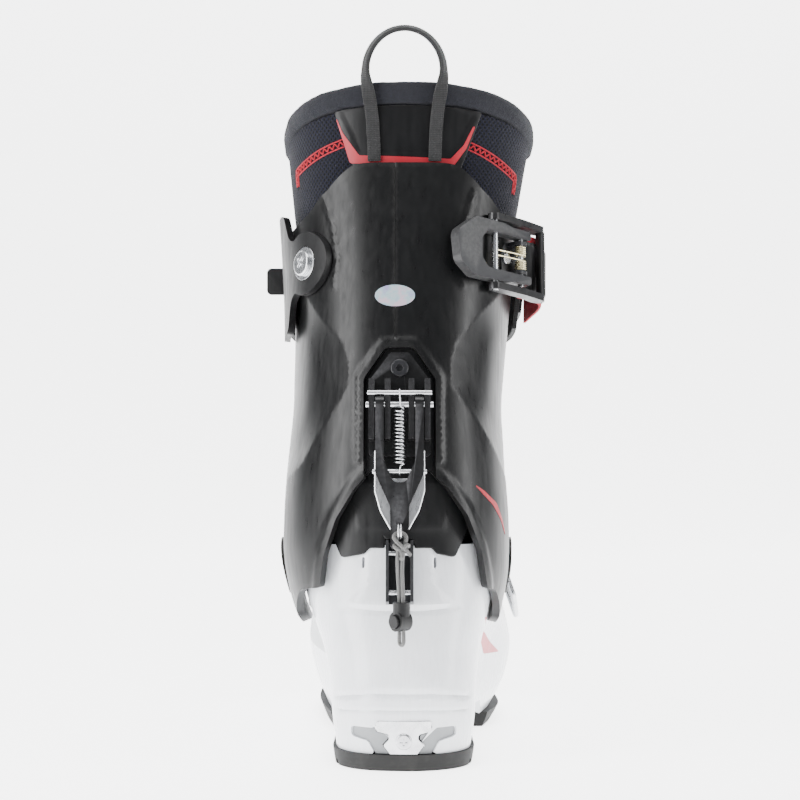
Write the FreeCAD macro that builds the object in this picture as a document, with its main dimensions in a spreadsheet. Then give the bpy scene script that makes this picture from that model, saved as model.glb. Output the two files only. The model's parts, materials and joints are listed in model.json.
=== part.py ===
"""Right-foot ski touring boot: hard shell, hinged cuff, liner, walk-mode lever, buckles and soles.

Millimetres. +X is the outer (lateral) side, +Y the toe, +Z up. The origin lies on the ground under
the middle of the heel pad. Level tables describe the boot as horizontal outlines stacked in height.
"""
import FreeCAD
import math
import os
import Part
from FreeCAD import Placement, Rotation, Vector

doc = FreeCAD.newDocument("ski_boot")

# ---------------------------------------------------------------- driving dimensions
DIMENSIONS = {
    "pivot_forward": 66.0,      # ankle pivot, ahead of the origin
    "pivot_height": 93.0,
    "pivot_pin_radius": 5.0,
    "pivot_cap_radius": 15.0,
    "running_gap": 0.06,        # radial clearance of pins in their bores
    "shell_wall": 4.0,
    "cuff_wall": 4.0,
    "rubber_depth": 8.0,
    "cavity_floor": 21.0,
    "board_depth": 5.5,
    "liner_wall": 6.0,
    "insole_depth": 3.0,
    "shaft_wall": 9.0,
    "collar_depth": 13.0,
    "tongue_depth": 6.5,
    "guard_depth": 1.8,
    "mechanism_shift": -2.0,    # walk mechanism, off the heel's centre line
    "bracket_plate": 3.0,
    "ear_depth": 12.5,
    "ear_width": 2.8,
    "axle_radius": 1.6,
    "axle_length": 33.0,
    "spring_pin_radius": 1.2,
    "upper_pin_length": 31.5,
    "lower_pin_length": 26.4,
    "lever_depth": 4.7,
    "lever_core_depth": 4.6,
    "catch_depth": 13.2,
    "catch_floor": 2.6,
    "catch_pin_radius": 1.25,
    "catch_pin_length": 13.0,
    "screw_head_depth": 2.2,
    "bracket_screw_radius": 4.4,
    "heel_screw_radius": 4.0,
    "strap_screw_radius": 6.4,
    "strap_washer_radius": 8.6,
    "strap_washer_depth": 1.4,
    "strap_depth": 2.5,
    "anchor_depth": 3.0,
    "buckle_plate": 2.2,
    "buckle_pin_radius": 1.5,
    "buckle_pin_length": 30.0,
    "bail_axle_radius": 1.5,
    "bail_axle_length": 40.0,
    "bail_arm_width": 3.6,
    "instep_pin_length": 24.0,
    "instep_bail_radius": 1.5,
    "insert_radius": 5.0,
    "insert_length": 8.0,
    "socket_radius": 2.9,
    "socket_length": 3.0,
    "cord_radius": 0.95,
    "toggle_radius": 4.8,
    "toggle_length": 7.0,
    "toggle_button_radius": 3.3,
    "toggle_button_length": 2.2,
    "toggle_travel": 2.0,
    "ring_radius": 3.8,
    "ring_wire": 0.45,
    "nut_radius": 8.0,
    "nut_depth": 1.6,
}
sheet = doc.addObject("Spreadsheet::Sheet", "Dims")
for row, (alias, number) in enumerate(DIMENSIONS.items(), start=1):
    sheet.set(f"A{row}", alias.replace("_", " "))
    sheet.set(f"B{row}", str(number))
    sheet.setAlias(f"B{row}", alias)
doc.recompute()


def dim(alias):
    """A driving dimension, read back from the spreadsheet."""
    return float(getattr(sheet, alias))


PIVOT_Y = dim("pivot_forward")
PIVOT_Z = dim("pivot_height")
MECH_X = dim("mechanism_shift")

# ---------------------------------------------------------------- level tables
# height, rear y, rear cap length, rear half width outer / inner side,
# front y, front cap length outer / inner side, front half width outer / inner side
SHELL = [
    (8, -32.5, 34, 33.5, 33.5, 250, 95, 70, 49, 44),
    (22, -34.0, 36, 35.5, 35.5, 254, 95, 70, 57, 50),
    (40, -34.5, 38, 36.5, 37.0, 253, 95, 70, 61, 54),
    (56, -32.5, 42, 38.5, 40.0, 240, 100, 75, 58.5, 52.5),
    (70, -29.5, 46, 42.0, 45.0, 210, 95, 75, 54, 50.5),
    (84, -26.5, 50, 45.0, 49.8, 174, 80, 70, 48.5, 51),
    (98, -23.0, 52, 46.8, 52.8, 146, 68, 66, 47, 53),
    (112, -20.5, 54, 47.0, 54.0, 126, 64, 64, 46, 52.5),
    (130, -18.0, 55, 46.5, 53.5, 113, 62, 62, 45, 51),
    (150, -16.0, 56, 45.5, 52.0, 107, 60, 60, 44, 49.5),
]
CUFF = [
    (62, -29.0, 60, 47.5, 51.0, 131, 66, 66, 49.5, 53),
    (78, -29.5, 62, 51.5, 57.5, 131, 66, 66, 53, 58.5),
    (93, -30.0, 64, 54.5, 61.5, 130, 66, 66, 55, 61.5),
    (107, -29.5, 65, 55.5, 63.5, 128, 66, 66, 55.5, 63),
    (123, -29.0, 66, 55.5, 63.5, 125, 66, 66, 55.5, 63),
    (140, -28.0, 66, 54.5, 62.5, 122, 66, 66, 54.5, 61.5),
    (160, -25.8, 66, 53.5, 60.5, 119.5, 66, 66, 53.5, 59.5),
    (176, -23.2, 66, 52.8, 59.0, 120, 68, 68, 53, 58.5),
    (192, -20.6, 67, 54.0, 58.7, 121, 68, 68, 54, 58),
    (212, -17.0, 68, 56.0, 58.5, 125.5, 68, 68, 56, 58),
    (235, -12.0, 68, 58.5, 59.2, 131, 68, 68, 58.5, 59),
    (258, -6.3, 67, 61.5, 60.8, 137, 68, 68, 60.5, 60),
    (280, -0.5, 66, 65.5, 63.0, 143, 68, 68, 62, 61),
    (304, 5.5, 66, 68.5, 65.0, 149, 68, 68, 64, 63),
]
LINER = [
    (170, -18.6, 60, 47.5, 53.5, 111, 60, 60, 47.5, 53),
    (192, -15.1, 61, 48.5, 53.2, 115.5, 62, 62, 48.5, 52.5),
    (212, -11.5, 62, 50.5, 53.0, 120, 62, 62, 50.5, 52.5),
    (235, -6.5, 62, 53.0, 53.7, 125.5, 62, 62, 53, 53.5),
    (258, -0.8, 61, 56.0, 55.3, 131, 62, 62, 55, 54.5),
    (280, 5.0, 60, 60.3, 57.8, 136, 62, 62, 57, 56),
    (300, 10.0, 60, 64.0, 60.0, 139, 62, 62, 61, 58.5),
    (323, 10.0, 62, 68.0, 62.0, 141, 62, 62, 65, 61),
    (348, 9.0, 62, 68.5, 63.0, 142, 62, 62, 66, 62),
]
ROUNDNESS = 2.3        # exponent of the end caps: 2 is an ellipse
POINTS_PER_SIDE = 20


def level_at(table, height):
    """One level's values at any height, smooth between the table's rows."""
    if height <= table[0][0]:
        return list(table[0])
    if height >= table[-1][0]:
        return list(table[-1])
    low = max(i for i, row in enumerate(table) if row[0] <= height)
    low = min(low, len(table) - 2)
    below, above = table[low], table[low + 1]
    span = above[0] - below[0]
    t = (height - below[0]) / span

    def slope(i, k):
        first, last = table[max(i - 1, 0)], table[min(i + 1, len(table) - 1)]
        return (last[k] - first[k]) / (last[0] - first[0]) * span

    mixed = []
    for k in range(len(below)):
        mixed.append(
            (2 * t**3 - 3 * t**2 + 1) * below[k]
            + (t**3 - 2 * t**2 + t) * slope(low, k)
            + (3 * t**2 - 2 * t**3) * above[k]
            + (t**3 - t**2) * slope(low + 1, k)
        )
    return mixed


def cap(distance, length):
    """Half-width factor inside an end cap: 1 where the cap begins, 0 at its tip."""
    return max(0.0, 1.0 - min(1.0, distance / length) ** ROUNDNESS) ** (1 / ROUNDNESS)


def half_width(level, inset, side, y):
    """Half width at y of a level's outline on one side (+1 outer, -1 inner), moved in by inset."""
    _, rear, rear_cap, rear_out, rear_in, front, cap_out, cap_in, front_out, front_in = level
    rear, front = rear + inset, front - inset
    wide_rear = (rear_out if side > 0 else rear_in) - inset
    wide_front = (front_out if side > 0 else front_in) - inset
    start = rear + rear_cap
    stop = front - (cap_out if side > 0 else cap_in)
    if stop < start + 1:
        start = stop = (start + stop) / 2
    along = min(max((y - start) / max(stop - start, 1e-6), 0), 1)
    along = max(along - 0.35, 0) / 0.65
    width = wide_rear + (wide_front - wide_rear) * along * along * (3 - 2 * along)
    if y < start:
        return width * cap(start - y, start - rear)
    if y > stop:
        return width * cap(y - stop, front - stop)
    return width


def half_outline(level, inset, side, count):
    """Evenly spaced points of one side, from the rear centre to the front centre."""
    rear, front = level[1] + inset, level[5] - inset
    steps = 160
    dense = []
    for k in range(steps + 1):
        y = rear + (front - rear) * (1 - math.cos(math.pi * k / steps)) / 2
        dense.append((side * half_width(level, inset, side, y), y))
    lengths = [0.0]
    for a, b in zip(dense, dense[1:]):
        lengths.append(lengths[-1] + math.dist(a, b))
    spaced, j = [], 0
    for k in range(count + 1):
        target = lengths[-1] * k / count
        while j < steps - 1 and lengths[j + 1] < target:
            j += 1
        t = (target - lengths[j]) / (lengths[j + 1] - lengths[j])
        spaced.append([dense[j][i] + (dense[j + 1][i] - dense[j][i]) * t for i in (0, 1)])
    return spaced


def section(table, inset, height, source_height=None):
    """Closed smooth wire of a table's outline at a height."""
    level = level_at(table, height if source_height is None else source_height)
    outer = half_outline(level, inset, 1, POINTS_PER_SIDE)
    inner = half_outline(level, inset, -1, POINTS_PER_SIDE)
    loop = [Vector(x, y, height) for x, y in outer + inner[-2:0:-1]]
    curve = Part.BSplineCurve()
    curve.interpolate(Points=loop, PeriodicFlag=True)
    return Part.Wire([curve.toShape()])


def body_of(table, inset, low, high, step=8.0, lift=0.0):
    """Closed loft of a table between two heights. lift reads the outline that much higher up."""
    count = max(2, round((high - low) / step))
    heights = [low + (high - low) * k / count for k in range(count + 1)]
    wires = [section(table, inset, z, z + lift) for z in heights]
    return Part.makeLoft(wires, True, False)


def rind(table, outer_inset, inner_inset, low, high, step=8.0):
    """Wall between two insets of a table, open above and below."""
    outer = body_of(table, outer_inset, low, high, step)
    return outer.cut(body_of(table, inner_inset, low - 1, high + 1, step))


def surface_frame(table, height, side, y):
    """Point on a table's surface and its outward normal."""
    step = 0.5
    level = level_at(table, height)
    point = Vector(side * half_width(level, 0, side, y), y, height)
    ahead = Vector(side * half_width(level, 0, side, y + step), y + step, height)
    above = Vector(side * half_width(level_at(table, height + step), 0, side, y), y, height + step)
    normal = (ahead - point).cross(above - point) * side
    return point, normal.normalize()


# ---------------------------------------------------------------- building blocks
REAR = Rotation(Vector(1, 0, 0), 90)            # local x, y, z become +X, +Z, -Y
OUTER = Rotation(Vector(1, 1, 1), 120)          # local x, y, z become +Y, +Z, +X
kept = {}


def keep(label, item):
    """Registers a finished sub-part under its own name."""
    item.Label = label
    kept[label] = item
    return item


def solid(label, shape):
    """A sub-part whose shape is made with Part's own functions."""
    if len(shape.Solids) == 1:
        shape = shape.Solids[0]
    item = doc.addObject("Part::Feature", label)
    item.Shape = shape
    return keep(label, item)


def corner_edges(points):
    """Line segments and arcs of a closed outline. Each point is x, y and its corner radius."""
    corners = []
    total = len(points)
    for i, (x, y, radius) in enumerate(points):
        here = Vector(x, y, 0)
        back = Vector(*points[i - 1][:2], 0) - here
        on = Vector(*points[(i + 1) % total][:2], 0) - here
        if radius <= 0:
            corners.append((here, None, here))
            continue
        half = back.getAngle(on) / 2
        reach = min(radius / math.tan(half), 0.49 * back.Length, 0.49 * on.Length)
        radius = reach * math.tan(half)
        back.normalize()
        on.normalize()
        middle = (back + on).normalize() * (radius / math.sin(half) - radius)
        corners.append((here + back * reach, here + middle, here + on * reach))
    edges = []
    for i, (start, middle, stop) in enumerate(corners):
        if middle is not None:
            edges.append(Part.Arc(start, middle, stop))
        following = corners[(i + 1) % total][0]
        if (following - stop).Length > 1e-6:
            edges.append(Part.LineSegment(stop, following))
    return edges


def prism(points, low, high, placement):
    """Straight prism of an outline, from local z low to high, put in place."""
    edges = [edge.toShape() for edge in corner_edges(points)]
    face = Part.Face(Part.Wire(Part.__sortEdges__(edges)))
    face.translate(Vector(0, 0, low))
    shape = face.extrude(Vector(0, 0, high - low))
    shape.Placement = placement.multiply(shape.Placement)
    return shape


def plate(label, outlines, placement):
    """PartDesign body of pads. Each outline is points, local z start and a length alias."""
    body = doc.addObject("PartDesign::Body", label)
    plane = [f for f in body.Origin.OriginFeatures if f.Role == "XY_Plane"][0]
    for points, start, alias in outlines:
        sketch = body.newObject("Sketcher::SketchObject", f"{label}_sketch")
        sketch.AttachmentSupport = (plane, [""])
        sketch.MapMode = "FlatFace"
        sketch.AttachmentOffset = Placement(Vector(0, 0, start), Rotation())
        sketch.addGeometry(corner_edges(points), False)
        pad = body.newObject("PartDesign::Pad", f"{label}_pad")
        pad.Profile = sketch
        pad.setExpression("Length", f"Dims.{alias}")
    body.Placement = placement
    doc.recompute()
    return keep(label, body)


def rod(label, radius_alias, length_alias, centre, axis):
    """Round pin of named radius and length, centred on a point."""
    pin = doc.addObject("Part::Cylinder", label)
    pin.setExpression("Radius", f"Dims.{radius_alias}")
    pin.setExpression("Height", f"Dims.{length_alias}")
    start = centre - Vector(axis).normalize() * dim(length_alias) / 2
    pin.Placement = Placement(start, Rotation(Vector(0, 0, 1), axis))
    doc.recompute()
    return keep(label, pin)


def cylinder(radius, start, axis, length):
    return Part.makeCylinder(radius, length, start, axis)


def trimmed(label, base, tool_shape):
    """Part::Cut of a kept sub-part by a tool, kept under the sub-part's own label."""
    base.Label = f"{label}_blank"
    tool = doc.addObject("Part::Feature", f"{label}_tool")
    tool.Shape = tool_shape
    cut = doc.addObject("Part::Cut", f"{label}_cut")
    cut.Base = base
    cut.Tool = tool
    doc.recompute()
    return keep(label, cut)


def joined(shapes):
    whole = shapes[0]
    for shape in shapes[1:]:
        whole = whole.fuse(shape)
    return whole.removeSplitter()


def compound_part(label, shapes):
    """A sub-part of several separate solids."""
    item = doc.addObject("Part::Feature", label)
    item.Shape = Part.makeCompound(shapes)
    return keep(label, item)


def side_prism(points, low=-200, high=200):
    """Prism across the boot from an outline in the side view, given as y, z and radius."""
    return prism(points, low, high, Placement(Vector(), OUTER))


def rear_prism(points, front_y, depth):
    """Prism along Y from an outline in the rear view, from front_y backwards."""
    return prism(points, 0, depth, Placement(Vector(0, front_y, 0), REAR))


# ---------------------------------------------------------------- lower shell
WALL = dim("shell_wall")
RUBBER = dim("rubber_depth")
FLOOR = dim("cavity_floor")
TOE_BEND_START = 165.0
TOE_BEND_RADIUS = 480.0
SHELL_TOP = [(-70, 109, 0), (-4, 109, 12), (30, 128, 20), (70, 132, 20), (200, 132, 0),
             (200, 220, 0), (-70, 220, 0)]
THROAT = [(-9, 178, 8), (9, 178, 8), (19, 130, 20), (22, 90, 0), (-26, 90, 0), (-23, 130, 20)]


def toe_bend(lift, thickness):
    """Layer under the forefoot that curves up at the toe, across the boot's whole width."""
    flat = Part.makeBox(260, TOE_BEND_START + 90, thickness, Vector(-130, -90, lift))
    centre = Vector(-130, TOE_BEND_START, TOE_BEND_RADIUS)
    outer = cylinder(TOE_BEND_RADIUS - lift, centre, Vector(1, 0, 0), 260)
    inner = cylinder(TOE_BEND_RADIUS - lift - thickness, centre, Vector(1, 0, 0), 260)
    band = outer.cut(inner).common(Part.makeBox(260, 130, 60, Vector(-130, TOE_BEND_START, -1)))
    return flat.fuse(band)


def make_lower_shell():
    outer = body_of(SHELL, 0, 8, 150, 7)
    cavity = body_of(SHELL, WALL, FLOOR, 151, 7, lift=1.5)
    shell = outer.cut(cavity)
    shell = shell.cut(side_prism(SHELL_TOP))
    throat = prism(THROAT, 76, 200, Placement())
    shell = shell.cut(throat)
    shell = shell.cut(toe_bend(-40, 40 + RUBBER + 0.1).common(
        Part.makeBox(260, 200, 90, Vector(-130, TOE_BEND_START, -45))))
    arch = side_prism([(50, -5, 0), (60, 17, 8), (100, 17, 8), (112, -5, 0)])
    shell = shell.cut(arch)
    for side in (1, -1):
        hole = cylinder(dim("pivot_pin_radius"), Vector(side * 30, PIVOT_Y, PIVOT_Z),
                        Vector(side, 0, 0), 40)
        shell = shell.cut(hole)
    return shell


shell_shape = make_lower_shell()

# ---------------------------------------------------------------- soles
TREAD_GAP = 3.0


def tread_grooves(first, last, pitch, width, depth):
    """Slots across the sole that leave separate lugs on the ground side."""
    slots = []
    y = first
    while y < last:
        slots.append(Part.makeBox(200, width, depth + 30, Vector(-100, y, -30)))
        y += pitch
    return slots


def make_sole(low_y, high_y, grooves, long_slots):
    foot = body_of(SHELL, -0.5, 0, 30, 10, lift=8)
    slab = foot.common(toe_bend(0, RUBBER))
    slab = slab.common(Part.makeBox(260, high_y - low_y, 60, Vector(-130, low_y, -5)))
    for groove in grooves:
        lifted = groove.common(toe_bend(-40, 42.5))
        slab = slab.cut(lifted)
    slab = slab.cut(long_slots.common(toe_bend(-40, 42.5)))
    return slab


heel_slots = Part.makeBox(4, 52, 40, Vector(15, -20, -30)).fuse(
    Part.makeBox(4, 52, 40, Vector(-19, -20, -30)))
heel_sole = make_sole(-60, 49, tread_grooves(-12, 40, 15, TREAD_GAP, 2.5), heel_slots)
toe_sole = make_sole(113, 300, tread_grooves(126, 245, 17, TREAD_GAP, 2.5),
                     Part.makeBox(6, 150, 40, Vector(-3, 100, -30)))
solid("sole_heel_rubber", heel_sole)
solid("sole_forefoot_rubber", toe_sole)

# ---------------------------------------------------------------- toe and heel binding fittings
TOE_PIN_Y = 236.0
TOE_PIN_Z = 18.5
TOE_PIN_X = 30.5


def make_toe_insert(side):
    """Steel bush with a conical socket that a binding pin drops into."""
    face = Vector(side * TOE_PIN_X, TOE_PIN_Y, TOE_PIN_Z)
    inward = Vector(-side, 0, 0)
    bush = cylinder(dim("insert_radius"), face, inward, dim("insert_length"))
    socket = cylinder(dim("socket_radius"), face, inward, dim("socket_length"))
    point = Part.makeCone(dim("socket_radius"), 0.6, 2.6,
                          face + inward * dim("socket_length"), inward)
    return bush.cut(socket).cut(point)


toe_inserts = [make_toe_insert(1), make_toe_insert(-1)]
compound_part("toe_pin_inserts", toe_inserts)
for side in (1, -1):
    face = Vector(side * TOE_PIN_X, TOE_PIN_Y, TOE_PIN_Z)
    seat = cylinder(dim("insert_radius"), face, Vector(-side, 0, 0), dim("insert_length"))
    mouth = Part.makeCone(dim("insert_radius") + 0.6, dim("insert_radius") + 5, 14,
                          face, Vector(side, 0, 0))
    shell_shape = shell_shape.cut(seat).cut(mouth)

HEEL_PLATE = [(-13.6, 24.4, 1), (13.6, 24.4, 1), (13.2, 19.4, 1), (7.2, 18, 2.2), (7.0, 15.6, 2),
              (10, 12.6, 1), (6.6, 8.3, 0.5), (-6.6, 8.3, 0.5), (-10, 12.6, 1), (-7.0, 15.6, 2),
              (-7.2, 18, 2.2), (-13.2, 19.4, 1)]
HEEL_CHANNEL = [(26, 21.3, 1), (14.0, 21.0, 0), (13.4, 18.9, 1), (8.0, 17.6, 1.5), (7.8, 15.7, 1),
                (10.5, 12.6, 0.5), (7.2, 8.3, 0), (13.6, 8.3, 0), (17.4, 14.4, 1), (25.6, 16.2, 1)]
HEEL_SCREW_Z = 14.6


def heel_layer(outline, outer_inset, inner_inset):
    """Curved plate that follows the back of the heel."""
    shape = rear_prism(outline, 0, 60)
    return shape.common(rind(SHELL, outer_inset, inner_inset, 8.2, 30, 7))


def mirrored(outline):
    return [(-x, z, radius) for x, z, radius in reversed(outline)]


heel_screw = cylinder(dim("heel_screw_radius"), Vector(0, -31, HEEL_SCREW_Z), Vector(0, -1, 0), 5)
heel_plate = heel_layer(HEEL_PLATE, -0.7, 1.8)
heel_channels = [heel_layer(HEEL_CHANNEL, 0.9, 2.2), heel_layer(mirrored(HEEL_CHANNEL), 0.9, 2.2)]
pocket = heel_layer(HEEL_PLATE, -3, 1.9)
shell_shape = shell_shape.cut(pocket)
for channel in (HEEL_CHANNEL, mirrored(HEEL_CHANNEL)):
    shell_shape = shell_shape.cut(heel_layer(channel, -3, 2.2))
solid("heel_pin_plate", heel_plate.cut(heel_screw))
compound_part("heel_channel_inserts", [piece.Solids[0] for piece in heel_channels])


def cross_head(radius, depth, length, shank_radius):
    """Screw along local z: domed head above 0, shank below, cross recess in the head."""
    head = cylinder(radius, Vector(), Vector(0, 0, 1), depth)
    rim = [edge for edge in head.Edges if edge.BoundBox.ZMin > depth - 0.01 and edge.Closed]
    head = head.makeFillet(depth * 0.45, rim)
    shank = cylinder(shank_radius, Vector(0, 0, -length), Vector(0, 0, 1), length)
    screw = head.fuse(shank)
    blade = radius * 0.95
    for turn in (0, 90):
        slot = Part.makeBox(blade, blade * 0.26, depth, Vector(-blade / 2, -blade * 0.13, depth * 0.45))
        slot.rotate(Vector(), Vector(0, 0, 1), turn)
        screw = screw.cut(slot)
    return screw


def hex_head(radius, depth, length, shank_radius):
    """Screw along local z with a round head and a hexagonal socket."""
    head = cylinder(radius, Vector(), Vector(0, 0, 1), depth)
    rim = [edge for edge in head.Edges if edge.BoundBox.ZMin > depth - 0.01 and edge.Closed]
    head = head.makeChamfer(depth * 0.2, rim)
    shank = cylinder(shank_radius, Vector(0, 0, -length), Vector(0, 0, 1), length)
    corners = [(radius * 0.45 * math.cos(math.radians(60 * k)),
                radius * 0.45 * math.sin(math.radians(60 * k)), 0) for k in range(6)]
    socket = prism(corners, depth * 0.25, depth + 1, Placement())
    return head.fuse(shank).cut(socket)


def placed(shape, origin, rotation):
    copy = shape.copy()
    copy.Placement = Placement(origin, rotation)
    return copy


screw_shape = cross_head(dim("heel_screw_radius"), dim("screw_head_depth"), 12, 2.0)
heel_screw_place = Vector(0, -33.0, HEEL_SCREW_Z)
heel_screw_hole = cylinder(2.0, Vector(0, -20.9, HEEL_SCREW_Z), Vector(0, -1, 0), 14)
shell_shape = shell_shape.cut(heel_screw_hole)
shell_shape = shell_shape.cut(heel_screw.common(Part.makeBox(30, 3, 30, Vector(-15, -34, 0))))
solid("heel_plate_screw", placed(screw_shape, heel_screw_place, REAR))

# ---------------------------------------------------------------- mechanism frames
LEAN = 8.7                     # slope of the cuff's back at the bracket
MECH_Z = 177.0
mech_origin = Vector(MECH_X, level_at(CUFF, MECH_Z)[1], MECH_Z)
MECH = Placement(mech_origin, Rotation(Vector(1, 0, 0), -LEAN).multiply(REAR))
CATCH_LEAN = 12.4
CATCH_Z = 95.0
catch_origin = Vector(MECH_X, level_at(SHELL, CATCH_Z)[1], CATCH_Z)
CATCH = Placement(catch_origin, Rotation(Vector(1, 0, 0), -CATCH_LEAN).multiply(REAR))


def at(frame, u, v, w):
    """World point of local coordinates in a frame."""
    return frame.multVec(Vector(u, v, w))


def along(frame, u, v, w):
    """World direction of a local direction in a frame."""
    return frame.Rotation.multVec(Vector(u, v, w))


# ---------------------------------------------------------------- heel catch
CATCH_HALF = 6.75
CATCH_WALL = 1.5


def box_outline(left, right, bottom, top, radius=0.0):
    return [(left, bottom, radius), (right, bottom, radius), (right, top, radius), (left, top, radius)]


catch = plate("walk_catch", [
    (box_outline(-CATCH_HALF, CATCH_HALF, -15, 15, 1), -0.6, "catch_floor"),
    (box_outline(-CATCH_HALF, -CATCH_HALF + CATCH_WALL, -15, 15), -0.6, "catch_depth"),
    (box_outline(CATCH_HALF - CATCH_WALL, CATCH_HALF, -15, 15), -0.6, "catch_depth"),
], CATCH)
catch_pin_places = [at(CATCH, 0, 9, 9.6), at(CATCH, 0, -10, 8.3)]
across = Vector(1, 0, 0)
catch_holes = joined([cylinder(dim("catch_pin_radius"), p - across * 10, across, 20)
                      for p in catch_pin_places])
trimmed("walk_catch", catch, catch_holes)
compound_part("catch_pins", [
    cylinder(dim("catch_pin_radius"), p - across * dim("catch_pin_length") / 2 - across * 0.3,
             across, dim("catch_pin_length") + 0.6)
    for p in catch_pin_places
])
catch_seat = prism(box_outline(-CATCH_HALF - 0.1, CATCH_HALF + 0.1, -15.1, 15.1, 1), -0.7, 20, CATCH)
shell_shape = shell_shape.cut(catch_seat)

solid("lower_shell", shell_shape)

# ---------------------------------------------------------------- heel guard
GUARD = [(-35, 124, 6), (-35.8, 114, 3), (-31, 102.8, 1.5), (-19.5, 105, 1), (-17, 107.8, 0.8),
         (14, 107.8, 0.8), (16.3, 105, 1), (25.5, 103, 1.5), (31.8, 116, 3), (31, 124, 6),
         (24, 137, 6), (15, 149, 6), (-19, 149, 6), (-28, 137, 6)]


def make_guard():
    outline = rear_prism(GUARD, 25, 90)
    layer = rind(SHELL, -0.4 - dim("guard_depth"), -0.4, 98, 152, 7)
    guard = outline.common(layer)
    slot = prism(box_outline(-CATCH_HALF - 0.5, CATCH_HALF + 0.5, -16, 15.6), -3, 20, CATCH)
    return guard.cut(slot)


solid("heel_guard", make_guard())

# ---------------------------------------------------------------- inside the shell
board = body_of(SHELL, WALL + 0.9, FLOOR + 0.2, FLOOR + 0.2 + dim("board_depth"), 3, lift=1.5)
board = board.common(Part.makeBox(300, 260, 60, Vector(-150, -60, 0)))
board = board.cut(Part.makeBox(300, 60, 60, Vector(-150, 224, 0)))
solid("boot_board", board)

LINER_BASE = FLOOR + dim("board_depth") + 0.5
LINER_INSET = WALL + 3.0
FOOT_TOP = 140.0


def make_liner_foot():
    outer = body_of(SHELL, LINER_INSET, LINER_BASE, FOOT_TOP, 7, lift=3.0)
    inner = body_of(SHELL, LINER_INSET + dim("liner_wall"), LINER_BASE + 5, FOOT_TOP + 1, 7, lift=5.0)
    foot = outer.cut(inner)
    for side in (1, -1):
        clear = cylinder(dim("nut_radius") + 2, Vector(side * 36, PIVOT_Y, PIVOT_Z),
                         Vector(side, 0, 0), 30)
        foot = foot.cut(clear.common(rind(SHELL, -5, LINER_INSET + 1.2, 70, 120, 7)))
    return foot


solid("liner_foot", make_liner_foot())
insole_low = LINER_BASE + 5.3
insole = body_of(SHELL, LINER_INSET + dim("liner_wall") + 1.2, insole_low,
                 insole_low + dim("insole_depth"), 3, lift=5.0)
solid("insole", insole)

GAITER = [(-16, 188, 10), (16, 188, 10), (27, 130, 20), (30, 80, 0), (-34, 80, 0), (-31, 130, 20)]


def make_gaiter():
    outline = prism(GAITER, 60, 200, Placement())
    layer = body_of(SHELL, WALL + 0.3, 60, 151, 7, lift=1.5)
    core = body_of(SHELL, WALL + 2.3, 59, 152, 7, lift=2.3)
    gaiter = outline.common(layer.cut(core))
    gaiter = gaiter.common(Part.makeBox(200, 200, 67, Vector(-100, 95, 60)))
    return max(gaiter.Solids, key=lambda item: item.Volume)


solid("instep_gaiter", make_gaiter())

# ---------------------------------------------------------------- cuff
CUFF_WALL = dim("cuff_wall")
CUFF_TOP = [(-60, 300, 0), (7.5, 300, 2.5), (11, 287, 5), (17, 275.5, 7), (26, 269.5, 10), (46, 263, 16),
            (70, 258, 20), (160, 248, 0), (220, 248, 0), (220, 330, 0), (-60, 330, 0)]
CUFF_BOTTOM = [(-70, 50, 0), (200, 50, 0), (200, 160, 0), (122, 160, 10), (106, 140, 12),
               (94, 112, 12), (84, 84, 16), (52, 66, 20), (22, 66, 16), (-4, 86, 8), (-70, 96, 0)]
REAR_ARCH = [(-60, 60, 0), (-46, 66, 4), (-41.5, 84, 8), (-39, 104, 12), (-33, 122, 12),
             (-24, 137, 12), (-15, 147, 6), (11, 147, 6), (21, 138, 12), (31, 124, 12),
             (38, 106, 12), (41.5, 84, 8), (44.5, 66, 4), (60, 60, 0), (60, 20, 0), (-60, 20, 0)]
FRONT_GAP = [(-20, 132, 0), (17, 132, 0), (19, 190, 20), (30, 262, 10), (44, 340, 0),
             (-48, 340, 0), (-34, 262, 10), (-22, 190, 20)]
POCKET = [(-17.5, -34, 0), (-17.5, 14, 3), (-7, 29.5, 3), (7, 29.5, 3), (17.5, 14, 3), (17.5, -34, 0)]


def make_cuff():
    outer = body_of(CUFF, 0, 62, 302, 9)
    inner = body_of(CUFF, CUFF_WALL, 61, 303, 9)
    cuff = outer.cut(inner)
    cuff = cuff.cut(side_prism(CUFF_TOP)).cut(side_prism(CUFF_BOTTOM))
    cuff = cuff.cut(rear_prism(REAR_ARCH, 22, 90))
    cuff = cuff.cut(rear_prism(FRONT_GAP, 200, 130))
    cuff = cuff.cut(prism(POCKET, -2.3, 20, MECH))
    for side in (1, -1):
        bore = cylinder(dim("pivot_pin_radius") + dim("running_gap"),
                        Vector(side * 40, PIVOT_Y, PIVOT_Z), Vector(side, 0, 0), 40)
        cuff = cuff.cut(bore)
    return cuff


cuff_shape = make_cuff()

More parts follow.
